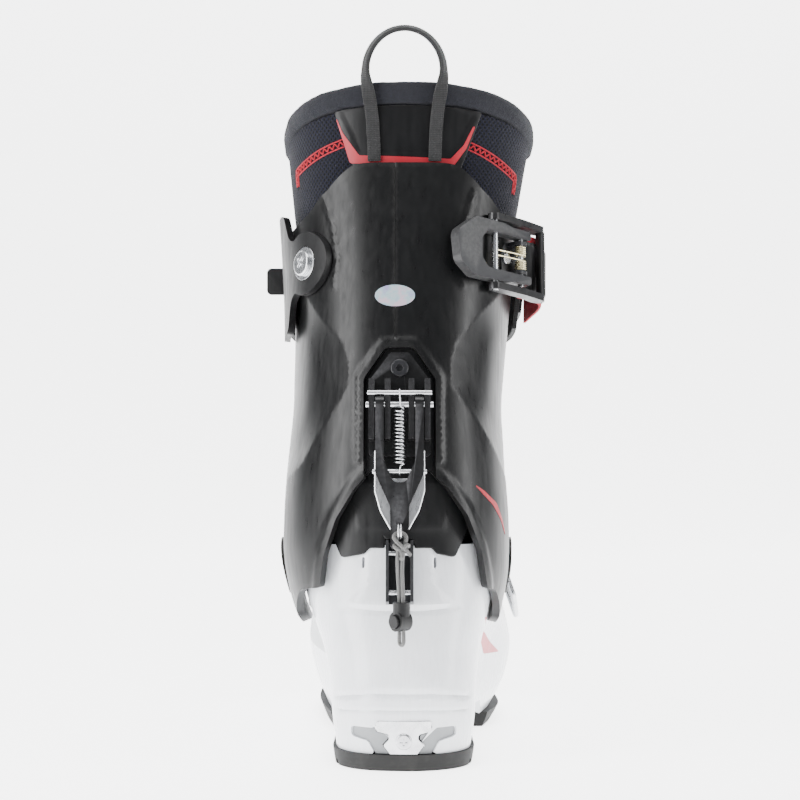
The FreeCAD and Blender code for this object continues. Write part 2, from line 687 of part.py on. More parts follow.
# ---------------------------------------------------------------- ankle pivots
pins, nuts, caps = [], [], []
shell_cavity = body_of(SHELL, WALL + 0.4, 70, 120, 7, lift=1.5)
for side in (1, -1):
    shell_point, _ = surface_frame(SHELL, PIVOT_Z, side, PIVOT_Y)
    cuff_point, cuff_normal = surface_frame(CUFF, PIVOT_Z, side, PIVOT_Y)
    outward = Vector(side, 0, 0)
    inner_x = abs(shell_point.x) - WALL - dim("nut_depth")
    outer_x = abs(cuff_point.x) - 2.3
    pins.append(cylinder(dim("pivot_pin_radius"), Vector(side * inner_x, PIVOT_Y, PIVOT_Z),
                         outward, outer_x - inner_x))
    nut = cylinder(dim("nut_radius"), Vector(side * (inner_x - 0.6), PIVOT_Y, PIVOT_Z),
                   outward, dim("nut_depth") + 0.2)
    nut = nut.cut(cylinder(dim("pivot_pin_radius"), Vector(side * (inner_x - 5), PIVOT_Y, PIVOT_Z),
                           outward, 20))
    nuts.append(nut.common(shell_cavity))
    turn = Rotation(Vector(0, 0, 1), cuff_normal)
    disc = cylinder(dim("pivot_cap_radius"), cuff_point, cuff_normal, 20)
    disc = disc.fuse(cylinder(dim("pivot_cap_radius"), cuff_point, cuff_normal * -1, 12))
    seat = cylinder(dim("pivot_cap_radius") + 0.4, cuff_point - cuff_normal * 12, cuff_normal, 30)
    cap_layer = rind(CUFF, -1.6, 1.3, 70, 116, 9)
    cover = disc.common(cap_layer)
    corners = [(2.6 * math.cos(math.radians(60 * k)), 2.6 * math.sin(math.radians(60 * k)), 0)
               for k in range(6)]
    key = prism(corners, -10, 10, Placement(cuff_point, turn))
    caps.append(cover.cut(key).Solids[0])
    cuff_shape = cuff_shape.cut(seat.common(rind(CUFF, -6, 1.4, 70, 116, 9)))
compound_part("pivot_pins", pins)
compound_part("pivot_nuts", nuts)
compound_part("pivot_caps", caps)

# ---------------------------------------------------------------- walk bracket, lever and spring
AXLE_W = 8.0                 # pin heights above the cuff's back
SPRING_W = 9.8
UPPER_PIN_V = 5.6
LOWER_PIN_V = -33.0
EAR_OUTER = 15.0
EAR_INNER = 7.2
BRACKET = [(-4.6, 27, 2), (4.6, 27, 2), (15, 13, 1), (15, -24.5, 2), (-15, -24.5, 2), (-15, 13, 1)]
EAR = dim("ear_width")
ears = []
for left in (-EAR_OUTER, -EAR_INNER, EAR_INNER - EAR, EAR_OUTER - EAR):
    ears.append((box_outline(left, left + EAR, -17, 12.5), -2.2, "ear_depth"))
bracket = plate("walk_bracket", [(BRACKET, -2.2, "bracket_plate")] + ears, MECH)
BRACKET_SCREW_V = 19.0
bracket_cuts = joined([
    cylinder(dim("axle_radius"), at(MECH, -20, 0, AXLE_W), across, 40),
    cylinder(dim("spring_pin_radius"), at(MECH, -20, UPPER_PIN_V, SPRING_W), across, 40),
    cylinder(2.5, at(MECH, 0, BRACKET_SCREW_V, -10), along(MECH, 0, 0, 1), 20),
])
trimmed("walk_bracket", bracket, bracket_cuts)
rod("lever_axle", "axle_radius", "axle_length", at(MECH, 0, 0, AXLE_W), across)
rod("upper_spring_pin", "spring_pin_radius", "upper_pin_length",
    at(MECH, 0, UPPER_PIN_V, SPRING_W), across)
bolt = hex_head(dim("bracket_screw_radius"), dim("screw_head_depth"), 8.5, 2.5)
solid("bracket_screw", placed(bolt, at(MECH, 0, BRACKET_SCREW_V, 0.8), MECH.Rotation))
cuff_shape = cuff_shape.cut(cylinder(2.5, at(MECH, 0, BRACKET_SCREW_V, -12), along(MECH, 0, 0, 1), 20))
nut_ring = cylinder(5.5, at(MECH, 0, BRACKET_SCREW_V, -6.6), along(MECH, 0, 0, 1), 1.4)
nut_ring = nut_ring.cut(cylinder(2.5, at(MECH, 0, BRACKET_SCREW_V, -9), along(MECH, 0, 0, 1), 9))
solid("bracket_nut", nut_ring)

LEVER = [(-11.8, 4.0, 3), (-11.8, -34, 4), (-4.6, -50, 6), (-4.4, -70, 1.5), (4.4, -70, 1.5),
         (4.6, -50, 6), (11.8, -34, 4), (11.8, 4.0, 3), (7.6, 4.0, 0.5), (7.6, -28, 5),
         (3.0, -38.5, 3), (-3.0, -38.5, 3), (-7.6, -28, 5), (-7.6, 4.0, 0.5)]
LEVER_BACK = 7.4
CORE = [(-12.4, -22, 1), (-12.4, -42, 6), (-9.6, -52, 5), (-4.6, -61, 1), (4.6, -61, 1),
        (9.6, -52, 5), (12.4, -42, 6), (12.4, -22, 1), (8.2, -22, 1), (6.2, -36, 2),
        (-6.2, -36, 2), (-8.2, -22, 1)]
lever = plate("walk_lever", [(LEVER, LEVER_BACK, "lever_depth")], MECH)
lever_bore = dim("axle_radius") + dim("running_gap")
knuckles = [cylinder(4.2, at(MECH, side * 9.7 - 2.1, 0, AXLE_W), across, 4.2) for side in (1, -1)]
lever_shape = joined([lever.Shape] + knuckles)
lever_shape = lever_shape.cut(prism([(-20, 10, 0), (-20, 4.3, 0), (20, 4.3, 0), (20, 10, 0)],
                                    0, 20, MECH))
lever_shape = lever_shape.cut(cylinder(lever_bore, at(MECH, -20, 0, AXLE_W), across, 40))
lever_shape = lever_shape.cut(cylinder(dim("spring_pin_radius"),
                                       at(MECH, -20, LOWER_PIN_V, SPRING_W), across, 40))
LEVER_TRAVEL = 38
for degrees in range(0, LEVER_TRAVEL + 5, 5):        # room for the upper pin all through the lever's travel
    turn = math.radians(degrees)
    rise = SPRING_W - AXLE_W
    path_v = UPPER_PIN_V * math.cos(turn) - rise * math.sin(turn)
    path_w = UPPER_PIN_V * math.sin(turn) + rise * math.cos(turn)
    lever_shape = lever_shape.cut(cylinder(dim("spring_pin_radius") + 0.4,
                                           at(MECH, -20, path_v, AXLE_W + path_w), across, 40))
NOSE = (box_outline(-4.0, 4.0, -70, -61.3, 0.8))
lever_shape = lever_shape.fuse(prism(NOSE, 2.6, LEVER_BACK + 0.2, MECH)).removeSplitter()
RING_V = -62.5
RING_W = LEVER_BACK + dim("lever_depth") + 0.7
RING_HALF = 0.9


def ring_slot():
    """Curved way through the lever for the cord's split ring."""
    middle = at(MECH, -RING_HALF - 0.5, RING_V, RING_W)
    radius, play = dim("ring_radius"), dim("ring_wire") + 0.25
    wide = cylinder(radius + play, middle, across, 2 * RING_HALF + 1.0)
    return wide.cut(cylinder(radius - play, middle, across, 2 * RING_HALF + 1.0))


lever.Label = "walk_lever_blank"
solid("walk_lever", lever_shape.cut(ring_slot()))
plate("walk_lever_core", [(CORE, LEVER_BACK - 0.1 - dim("lever_core_depth"), "lever_core_depth")], MECH)
rod("lower_spring_pin", "spring_pin_radius", "lower_pin_length",
    at(MECH, 0, LOWER_PIN_V, SPRING_W), across)

SPRING_RADIUS = 2.35
WIRE_RADIUS = 0.42
SPRING_TOP_V = -2.4
SPRING_BOTTOM_V = -29.6
SPRING_TURNS = 15


def make_walk_spring():
    height = SPRING_TOP_V - SPRING_BOTTOM_V
    helix = Part.makeHelix(height / SPRING_TURNS, height, SPRING_RADIUS)
    start = Vector(SPRING_RADIUS, 0, 0)
    profile = Part.Wire([Part.makeCircle(WIRE_RADIUS, start, Vector(0, 1, 0.1))])
    coil = Part.Wire(helix.Edges).makePipeShell([profile], True, True)
    coil = Part.Solid(coil) if coil.ShapeType != "Solid" else coil
    turn = Rotation(Vector(1, 0, 0), -90)
    coil.Placement = MECH.multiply(Placement(Vector(0, SPRING_BOTTOM_V, SPRING_W), turn))
    return coil


solid("walk_spring", make_walk_spring())

def make_ring(offset):
    """Wire ring through the lever's slot, for the pull cord."""
    torus = Part.makeTorus(dim("ring_radius"), dim("ring_wire"))
    upright = Rotation(Vector(0, 1, 0), 90)
    torus.Placement = MECH.multiply(Placement(Vector(offset, RING_V, RING_W), upright))
    return torus


compound_part("cord_rings", [make_ring(-0.6), make_ring(0.6)])


def wire_tube(points, radius, frame=None, longest=9.0):
    """Round wire along straight runs joined by tangent arcs that take at most the longest length."""
    if frame is not None:
        points = [at(frame, *p) for p in points]
    else:
        points = [Vector(*p) for p in points]
    edges = []
    start = points[0]
    for before, here, after in zip(points, points[1:], points[2:]):
        back, on = before - here, after - here
        turn = math.pi - back.getAngle(on)
        run = min(back.Length, on.Length)
        reach = min(0.45 * run, longest)
        bend = reach / math.tan(turn / 2)
        back.normalize()
        on.normalize()
        middle = here + (back + on).normalize() * (bend / math.cos(turn / 2) - bend)
        first, last = here + back * reach, here + on * reach
        edges.append(Part.makeLine(start, first))
        edges.append(Part.Arc(first, middle, last).toShape())
        start = last
    edges.append(Part.makeLine(start, points[-1]))
    path = Part.Wire(edges)
    profile = Part.Wire([Part.makeCircle(radius, points[0], points[1] - points[0])])
    tube = path.makePipeShell([profile], True, True)
    expected = math.pi * radius**2 * path.Length
    print("tube", round(path.Length, 2), "volume ratio", round(tube.Volume / expected, 4))
    return tube


CORD = [
    (5.2, -46.4, 106.0), (2.6, -49.0, 109.4), (-1.2, -49.2, 112.2), (-3.4, -47.4, 115.4),
    (0.3, -46.2, 117.4), (3.6, -46.4, 115.2), (2.4, -46.8, 110.6), (1.4, -46.8, 104.6),
    (1.2, -46.9, 98.0), (1.5, -47.3, 90.4), (1.8, -47.9, 82.8), (1.8, -48.1, 75.6),
    (1.9, -48.3, 68.6), (2.0, -48.35, 62.9), (-0.2, -45.7, 62.9), (-0.1, -45.75, 68.4),
    (0.1, -45.9, 75.4), (0.0, -46.0, 82.6), (-0.4, -46.3, 90.2), (-0.9, -46.6, 97.8),
    (-1.1, -46.7, 104.4), (-0.7, -46.3, 109.8),
]
solid("pull_cord", wire_tube([(MECH_X + x, y, z) for x, y, z in CORD], dim("cord_radius")))

# cord lock: a barrel with a spring button, both strands running down through it
TOGGLE_CENTRE = Vector(MECH_X + 0.95, -47.0, 74.4)
TOGGLE_AXIS = Vector(-0.76, -0.65, 0).normalize()
TOGGLE_SIDE = Vector(0.65, -0.76, 0).normalize()
TOGGLE_BACK = 3.0
SLOT_HALF = 1.3
turn_slot = Rotation(TOGGLE_SIDE, Vector(0, 0, 1), TOGGLE_AXIS, "ZXY")


def cord_slot():
    """Clear way through the cord lock for both strands of the cord."""
    box = Part.makeBox(5.6, 40, 2 * SLOT_HALF, Vector(-2.8, -20, -SLOT_HALF))
    box.Placement = Placement(TOGGLE_CENTRE, turn_slot)
    return box


def make_cord_lock():
    barrel = cylinder(dim("toggle_radius"), TOGGLE_CENTRE - TOGGLE_AXIS * TOGGLE_BACK,
                      TOGGLE_AXIS, dim("toggle_length"))
    neck = cylinder(4.2, TOGGLE_CENTRE + Vector(0, 0, 2.0), Vector(0, 0, 1), 7.0)
    bore = cylinder(dim("toggle_button_radius") + 0.15, TOGGLE_CENTRE + TOGGLE_AXIS * SLOT_HALF,
                    TOGGLE_AXIS, 12)
    return barrel.fuse(neck).cut(cord_slot()).cut(bore)


solid("cord_lock_body", make_cord_lock())
button_start = TOGGLE_CENTRE + TOGGLE_AXIS * (SLOT_HALF + dim("toggle_travel") + 0.1)
solid("cord_lock_button", cylinder(dim("toggle_button_radius"), button_start, TOGGLE_AXIS,
                                   dim("toggle_button_length")))

# ---------------------------------------------------------------- liner shaft, collar, tongue
RIM_REAR = 345.0
RIM_SLOPE = 0.32
COLLAR = dim("collar_depth")


def above_rim(drop):
    """Region above the liner's sloping rim, lowered by drop."""
    rear = RIM_REAR + RIM_SLOPE * 60 - drop
    front = RIM_REAR - RIM_SLOPE * 200 - drop
    return side_prism([(-60, rear, 0), (200, front, 0), (200, 460, 0), (-60, 460, 0)])


TONGUE_GAP = [(-26, 160, 0), (22, 160, 0), (26, 240, 20), (36, 380, 0), (-40, 380, 0), (-30, 240, 20)]
tongue_cut = rear_prism(TONGUE_GAP, 200, 120)
SHAFT_BASE = 172.0
shaft = rind(LINER, 0, dim("shaft_wall"), SHAFT_BASE, 347, 9)
shaft = shaft.cut(above_rim(COLLAR + 0.2)).cut(tongue_cut)
shaft = shaft.cut(cylinder(6.2, at(MECH, 0, BRACKET_SCREW_V, -9), along(MECH, 0, 0, 1), 12))
collar = rind(LINER, -2.2, dim("shaft_wall") + 0.2, 280, 347.9, 9)
collar = collar.cut(above_rim(0)).common(above_rim(COLLAR)).cut(tongue_cut)
TONGUE = [(-44, 172, 6), (40, 172, 6), (44, 300, 20), (38, 346, 16), (-42, 346, 16), (-48, 300, 20)]
tongue = rind(LINER, dim("shaft_wall") + 0.6, dim("shaft_wall") + 0.6 + dim("tongue_depth"),
              SHAFT_BASE, 347, 9)
tongue = tongue.common(rear_prism(TONGUE, 200, 145))
solid("liner_tongue", tongue)

PANEL = [(-37, 331, 2), (-27, 302, 6), (-22, 290, 2), (26, 290, 2), (31, 302, 6), (41, 329, 2)]
panel = rear_prism(PANEL, 60, 90).common(rind(LINER, -1.3, -0.15, 284, 333, 9))
panel = panel.cut(above_rim(COLLAR))
panel = panel.cut(rind(CUFF, CUFF_WALL - 0.4, CUFF_WALL + 0.3, 270, 303, 9))
panel = max(panel.Solids, key=lambda item: item.Volume)
LOOP_OUTER = 21.5
LOOP_TOP_Z = 371.0
LOOP_WIDTH = 7.0
LOOP_FOOT_Z = 293.0
LOOP_START = 8.0


LOOP_LEAN = 9.0
LOOP_DEPTH = 2.4
LOOP_PLANE = Placement(Vector(0.5, 9.6, LOOP_FOOT_Z), Rotation(Vector(1, 0, 0), LOOP_LEAN).multiply(REAR))


def loop_outline(half_foot, half_top, height):
    """Inverted U, narrower at its foot."""
    shoulder = height - 1.3 * half_top
    return [(-half_foot, LOOP_START, 0), (half_foot, LOOP_START, 0), (half_top, shoulder, 10),
            (half_top, height, half_top), (-half_top, height, half_top), (-half_top, shoulder, 10)]


def make_pull_loop():
    """Webbing loop that stands up behind the collar."""
    height = (LOOP_TOP_Z - LOOP_FOOT_Z) / math.cos(math.radians(LOOP_LEAN))
    foot = LOOP_OUTER - 3
    outer = prism(loop_outline(foot, LOOP_OUTER, height), 0, LOOP_DEPTH, LOOP_PLANE)
    inner = prism(loop_outline(foot - LOOP_WIDTH, LOOP_OUTER - 4.2, height - 4.2), -1, 5, LOOP_PLANE)
    return outer.cut(inner)


loop_shape = make_pull_loop()
solid("liner_pull_loop", loop_shape)
solid("liner_rear_panel", panel.cut(loop_shape))
solid("liner_shaft", shaft.cut(loop_shape))
solid("liner_collar", collar.cut(loop_shape))

# ---------------------------------------------------------------- power strap
STRAP_LEAN = 12.0
STRAP_Z = 250.0
STRAP_HALF = 24.0
slope_turn = Rotation(Vector(1, 0, 0), -STRAP_LEAN)


def strap_slab(low, high, front_y=20.0):
    """Slab across the boot that leans with the shin; low and high are from the strap's middle."""
    box = Part.makeBox(300, 300, high - low, Vector(-150, -150, low))
    box.Placement = Placement(Vector(0, front_y, STRAP_Z), slope_turn).multiply(box.Placement)
    return box


strap_wall = rind(CUFF, -0.4 - dim("strap_depth"), -0.4, 190, 290, 9)
strap = strap_wall.common(strap_slab(-STRAP_HALF, STRAP_HALF))
strap = strap.cut(Part.makeBox(200, 135, 200, Vector(-200, -90, 150)))
strap = strap.cut(Part.makeBox(200, 145, 200, Vector(0, -90, 150)))
solid("power_strap", strap)

# stitched end piece that screws to the inner side of the cuff
ANCHOR_TURN = 58.0
anchor_point, anchor_normal = surface_frame(CUFF, STRAP_Z - 1, -1, 12.5)
ANCHOR = Placement(anchor_point, slope_turn.multiply(Rotation(Vector(0, 0, 1), -ANCHOR_TURN)).multiply(REAR))


def make_anchor():
    head = cylinder(16.2, anchor_point + anchor_normal * 30, anchor_normal * -1, 60)
    tail = prism([(4, 13, 0), (-14, 14, 9), (-21, 31, 7), (-40, 31, 4), (-62, 24, 0), (-62, -24, 0),
                  (-40, -31, 4), (-21, -31, 7), (-14, -14, 9), (4, -13, 0)], -40, 40, ANCHOR)
    layer = rind(CUFF, -0.4 - dim("anchor_depth"), -0.4, 200, 300, 9)
    piece = head.fuse(tail).common(layer)
    piece = piece.cut(Part.makeBox(200, 100, 200, Vector(-200, 44.6, 150)))
    piece = piece.cut(Part.makeBox(200, 200, 200, Vector(-10, -90, 150)))
    return max(piece.Solids, key=lambda item: item.Volume)


anchor_piece = make_anchor()
strap_shank = 3.0
anchor_hole = cylinder(strap_shank, anchor_point - anchor_normal * 12, anchor_normal, 30)
turn_to_anchor = Rotation(Vector(0, 0, 1), anchor_normal)
washer_base = 0.4 + dim("anchor_depth") - 0.8
washer_seat = cylinder(dim("strap_washer_radius"), anchor_point + anchor_normal * washer_base,
                       anchor_normal, 12)
solid("strap_anchor", anchor_piece.cut(anchor_hole).cut(washer_seat))
washer = cylinder(dim("strap_washer_radius"), anchor_point + anchor_normal * washer_base,
                  anchor_normal, dim("strap_washer_depth"))
solid("strap_washer", washer.cut(anchor_hole))
strap_bolt = cross_head(dim("strap_screw_radius"), dim("screw_head_depth"), 9.0, strap_shank)
head_base = anchor_point + anchor_normal * (washer_base + dim("strap_washer_depth"))
solid("strap_screw", placed(strap_bolt, head_base, turn_to_anchor))
cuff_shape = cuff_shape.cut(anchor_hole)

TAB = [(0, -7, 1.5), (11, -7, 2.5), (11, 7, 2.5), (0, 7, 1.5)]
tab_level = level_at(CUFF, 243)
tab_x = half_width(tab_level, 0, -1, 62)
tab = prism([(-x, y, r) for x, y, r in reversed(TAB)], -1.2, 1.2,
            Placement(Vector(-tab_x - 1.6, 62, 243), REAR))
solid("strap_pull_tab", tab.cut(strap))

# ---------------------------------------------------------------- cuff buckle
BUCKLE_TURN = 42.0
buckle_point, _ = surface_frame(CUFF, 251, 1, 24.0)
BUCKLE = Placement(buckle_point, slope_turn.multiply(Rotation(Vector(0, 0, 1), BUCKLE_TURN)).multiply(REAR))
BUCKLE_W = 8.0
BAIL_U = -19.0
BAIL_W = 9.0
base_plate = plate("cuff_buckle_base", [
    (box_outline(-9, 9, -8.6, 8.6, 2), 1.2, "buckle_plate"),
], BUCKLE)
ear_side = [(-4.5, 1.2, 0), (5.5, 1.2, 0), (3.4, 10.6, 3), (-3.4, 10.6, 3)]


def buckle_ear(v, width):
    """Upright lug of the buckle base in its own u-w plane."""
    outline = prism(ear_side, 0, width, Placement(Vector(), Rotation(Vector(1, 0, 0), 90)))
    beside = Placement(Vector(0, v + width, 0), Rotation())
    outline.Placement = BUCKLE.multiply(beside).multiply(outline.Placement)
    return outline


v_axis = along(BUCKLE, 0, 1, 0)
w_axis = along(BUCKLE, 0, 0, 1)
base_shape = joined([base_plate.Shape, buckle_ear(-8.6, 2.0), buckle_ear(6.6, 2.0)])
cuff_skin = body_of(CUFF, -0.05, 215, 285, 9)
base_shape = base_shape.cut(cylinder(dim("buckle_pin_radius"), at(BUCKLE, 0, -30, BUCKLE_W), v_axis, 60))
base_shape = base_shape.cut(cuff_skin)
rivet_spots = [at(BUCKLE, -5.5, 0, 0), at(BUCKLE, 5.5, 0, 0)]
for spot in rivet_spots:
    hole = cylinder(1.6, spot - w_axis * 12, w_axis, 24)
    base_shape = base_shape.cut(hole)
    cuff_shape = cuff_shape.cut(hole)
spacer_blank = prism(box_outline(-8.5, 8.5, -8.2, 8.2, 2), -8, 1.15, BUCKLE)
spacer = spacer_blank.cut(cuff_skin)
for spot in rivet_spots:
    spacer = spacer.cut(cylinder(1.6, spot - w_axis * 12, w_axis, 24))
base_plate.Label = "cuff_buckle_base_blank"
solid("cuff_buckle_base", max(base_shape.Solids, key=lambda item: item.Volume))
solid("cuff_buckle_spacer", max(spacer.Solids, key=lambda item: item.Volume))
rivets = []
for spot in rivet_spots:
    stem = cylinder(1.6, spot - w_axis * 3.0, w_axis, 3.0 + 3.4)
    head = cylinder(2.9, spot + w_axis * 3.4, w_axis, 1.1)
    rivets.append(stem.fuse(head))
compound_part("cuff_buckle_rivets", rivets)
rod("cuff_buckle_pin", "buckle_pin_radius", "buckle_pin_length", at(BUCKLE, 0, 0, BUCKLE_W), v_axis)

CUFF_LEVER = [(4.5, 14.2, 2), (-8, 14.2, 3), (-14, 15.4, 3), (-34, 15.4, 7), (-47, 6, 6), (-45, -9, 7),
              (-36, -15.4, 5), (-14, -15.4, 3), (-8, -14.2, 3), (4.5, -14.2, 2), (4.5, -9.6, 1),
              (-26, -9.6, 4), (-30, -5, 3), (-30, 5, 3), (-26, 9.6, 4), (4.5, 9.6, 1)]
cuff_lever_flat = prism(CUFF_LEVER, 5.8, 11.4, BUCKLE)
lever_knuckle = [cylinder(3.4, at(BUCKLE, 0, side * 11.9 - 2.3, BUCKLE_W), v_axis, 4.6)
                 for side in (1, -1)]
cuff_lever = joined([cuff_lever_flat] + lever_knuckle)
cuff_lever = cuff_lever.cut(cylinder(dim("buckle_pin_radius") + dim("running_gap"),
                                     at(BUCKLE, 0, -30, BUCKLE_W), v_axis, 60))
cuff_lever = cuff_lever.cut(cylinder(dim("bail_axle_radius"), at(BUCKLE, BAIL_U, -30, BAIL_W), v_axis, 60))
solid("cuff_buckle_lever", cuff_lever)
rod("cuff_bail_axle", "bail_axle_radius", "bail_axle_length", at(BUCKLE, BAIL_U, 0, BAIL_W), v_axis)

BAIL_REACH = 13.0
bail_hole = dim("bail_axle_radius") + dim("running_gap")


def make_cuff_bail():
    """Two arms joined by a bar that hooks over the strap's ladder."""
    arm_outline = [(BAIL_U - 3.2, BAIL_W - 3.2, 3), (BAIL_U + 3.2, BAIL_W - 3.2, 2), (2, 5.6, 3),
                   (BAIL_REACH, 3.0, 1.5), (BAIL_REACH + 4.5, 4.5, 1.5), (BAIL_REACH + 4, 9.4, 3),
                   (0, 11.6, 6), (BAIL_U - 3.2, BAIL_W + 3.2, 3)]
    width = dim("bail_arm_width")
    lie = Placement(Vector(), Rotation(Vector(1, 0, 0), 90))
    parts = []
    for low in (16.2, -16.2 - width):
        arm = prism(arm_outline, 0, width, lie)
        beside = Placement(Vector(0, low + width, 0), Rotation())
        arm.Placement = BUCKLE.multiply(beside).multiply(arm.Placement)
        parts.append(arm)
    bar = prism([(BAIL_REACH, 5.6, 1), (BAIL_REACH + 4.3, 5.6, 1), (BAIL_REACH + 4, 9.2, 1),
                 (BAIL_REACH, 9.8, 1)], 0, 34, lie)
    bar.Placement = BUCKLE.multiply(Placement(Vector(0, 17, 0), Rotation())).multiply(bar.Placement)
    parts.append(bar)
    bail = joined(parts)
    return bail.cut(cylinder(bail_hole, at(BUCKLE, BAIL_U, -30, BAIL_W), v_axis, 60))


cuff_bail = make_cuff_bail()
solid("cuff_buckle_bail", cuff_bail)


def make_torsion_spring(v_low):
    """Short coil round the lever's pin."""
    coil_radius, wire = 2.5, 0.45
    helix = Part.makeHelix(1.15, 4.6, coil_radius)
    profile = Part.Wire([Part.makeCircle(wire, Vector(coil_radius, 0, 0), Vector(0, 1, 0.07))])
    coil = Part.Wire(helix.Edges).makePipeShell([profile], True, True)
    turn = Rotation(Vector(1, 0, 0), -90)
    coil.Placement = BUCKLE.multiply(Placement(Vector(0, v_low, BUCKLE_W), turn))
    return coil


compound_part("cuff_buckle_springs", [make_torsion_spring(-6.0), make_torsion_spring(1.4)])

# ribbed ladder on the strap's outer end
ladder_layer = rind(CUFF, -0.5 - dim("strap_depth") - 1.6, -0.5 - dim("strap_depth"), 200, 290, 9)
ladder = ladder_layer.common(strap_slab(-15, 15))
ladder = ladder.cut(Part.makeBox(300, 148.5, 200, Vector(-200, -90, 150)))
ladder = ladder.cut(Part.makeBox(300, 90, 200, Vector(-200, 92, 150)))
ladder = ladder.common(Part.makeBox(150, 300, 200, Vector(10, -90, 150)))
solid("strap_ladder", max(ladder.Solids, key=lambda item: item.Volume))

solid("cuff", cuff_shape)

# ---------------------------------------------------------------- instep buckle
instep_point, instep_normal = surface_frame(SHELL, 84, 1, 118.0)
foot_way = Vector(0, 0.86, -0.5)
instep_v = (foot_way - instep_normal * foot_way.dot(instep_normal)).normalize()
instep_u = instep_v.cross(instep_normal)
INSTEP = Placement(instep_point, Rotation(instep_u, instep_v, instep_normal, "ZXY"))
PIN_W = 6.0
INSTEP_BAIL_U = -13.0
INSTEP_BAIL_W = 7.4
instep_base = prism(box_outline(-8, 8, -9.5, 9.5, 2), -3.0, 1.6, INSTEP)
instep_base = instep_base.cut(body_of(SHELL, -0.1, 55, 115, 7))


def instep_ear(v, width):
    shape = prism([(-4, -1, 0), (4.5, -1, 0), (3, 8.4, 2.4), (-3, 8.4, 2.4)], 0, width,
                  Placement(Vector(), Rotation(Vector(1, 0, 0), 90)))
    beside = Placement(Vector(0, v + width, 0), Rotation())
    shape.Placement = INSTEP.multiply(beside).multiply(shape.Placement)
    return shape.cut(body_of(SHELL, -0.1, 55, 115, 7))


instep_base = joined([instep_base, instep_ear(-9.5, 2.0), instep_ear(7.5, 2.0)])
pin_axis = along(INSTEP, 0, 1, 0)
instep_base = instep_base.cut(cylinder(dim("buckle_pin_radius"), at(INSTEP, 0, -30, PIN_W), pin_axis, 60))
solid("instep_buckle_base", max(instep_base.Solids, key=lambda item: item.Volume))
rod("instep_buckle_pin", "buckle_pin_radius", "instep_pin_length", at(INSTEP, 0, 0, PIN_W), pin_axis)
INSTEP_LEVER = [(4, 12, 2), (-18, 12, 4), (-38, 9, 8), (-38, -9, 8), (-18, -12, 4), (4, -12, 2),
                (4, -9.9, 0.5), (-20, -9.9, 4), (-20, 9.9, 4), (4, 9.9, 0.5)]
instep_lever = prism(INSTEP_LEVER, 4.4, 9.6, INSTEP)
instep_knuckles = [cylinder(3.0, at(INSTEP, 0, side * 10.95 - 1.05, PIN_W), pin_axis, 2.1)
                   for side in (1, -1)]
instep_lever = joined([instep_lever] + instep_knuckles)
instep_lever = instep_lever.cut(cylinder(dim("buckle_pin_radius") + dim("running_gap"),
                                         at(INSTEP, 0, -30, PIN_W), pin_axis, 60))
instep_lever = instep_lever.cut(cylinder(dim("instep_bail_radius") + dim("running_gap"),
                                         at(INSTEP, INSTEP_BAIL_U, -30, INSTEP_BAIL_W), pin_axis, 60))
solid("instep_buckle_lever", instep_lever)

# wire bail: a closed steel wire frame that runs up over the instep
BAIL_SIDE = 14.6
bail_points = [(INSTEP_BAIL_U, -4, INSTEP_BAIL_W), (INSTEP_BAIL_U, -BAIL_SIDE, INSTEP_BAIL_W),
               (4, -BAIL_SIDE, 7.6), (24, -BAIL_SIDE, 4.8), (24, BAIL_SIDE, 4.8), (4, BAIL_SIDE, 7.6),
               (INSTEP_BAIL_U, BAIL_SIDE, INSTEP_BAIL_W), (INSTEP_BAIL_U, 4, INSTEP_BAIL_W)]
solid("instep_bail", wire_tube(bail_points, dim("instep_bail_radius"), INSTEP, 2.5))

LADDER_HALF = 10.5


def instep_slab(half):
    """Slab square to the foot's way that holds the instep strap."""
    box = Part.makeBox(300, 2 * half, 300, Vector(-150, -half, -150))
    turn = Rotation(Vector(0, 1, 0), instep_v)
    box.Placement = Placement(instep_point, turn).multiply(box.Placement)
    return box


instep_strap = rind(SHELL, -2.8, -0.4, 50, 149, 7).common(instep_slab(LADDER_HALF))
instep_strap = instep_strap.cut(Part.makeBox(300, 138, 200, Vector(-150, -60, 0)))
instep_strap = instep_strap.common(Part.makeBox(70, 300, 100, Vector(-60, 0, 66)))
instep_strap = max(instep_strap.Solids, key=lambda item: item.Volume)
solid("instep_ladder_strap", instep_strap)

doc.recompute()

# ---------------------------------------------------------------- checks and export
for item in doc.Objects:
    bad = [word for word in item.State if word in ("Invalid", "Error")]
    if bad:
        raise RuntimeError(f"{item.Label} failed: {bad}")

os.makedirs("parts", exist_ok=True)
for old in os.listdir("parts"):
    os.remove(os.path.join("parts", old))
for label, item in kept.items():
    shape = item.Shape
    if shape.isNull() or not shape.isValid() or not shape.Solids:
        raise RuntimeError(f"{label} has no valid shape")
    if min(piece.Volume for piece in shape.Solids) <= 0:
        raise RuntimeError(f"{label} has an empty or inside-out solid")
    print(f"{label:26s} solids {len(shape.Solids)} volume {shape.Volume:10.1f} "
          f"z {shape.BoundBox.ZMin:6.1f} {shape.BoundBox.ZMax:6.1f}")
    shape.exportStep(f"parts/{label}.step")
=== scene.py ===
"""Looks of a right-foot ski touring boot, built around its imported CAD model.

Lengths in the tables and outlines below are millimetres in the CAD model's frame: +X to the boot's
outer side, +Y to the toe, +Z up. MM turns them into the scene's metres.
"""
import bmesh
import bpy
import json
import math
import numpy as np
from mathutils import Matrix, Vector, noise
from mathutils.geometry import delaunay_2d_cdt

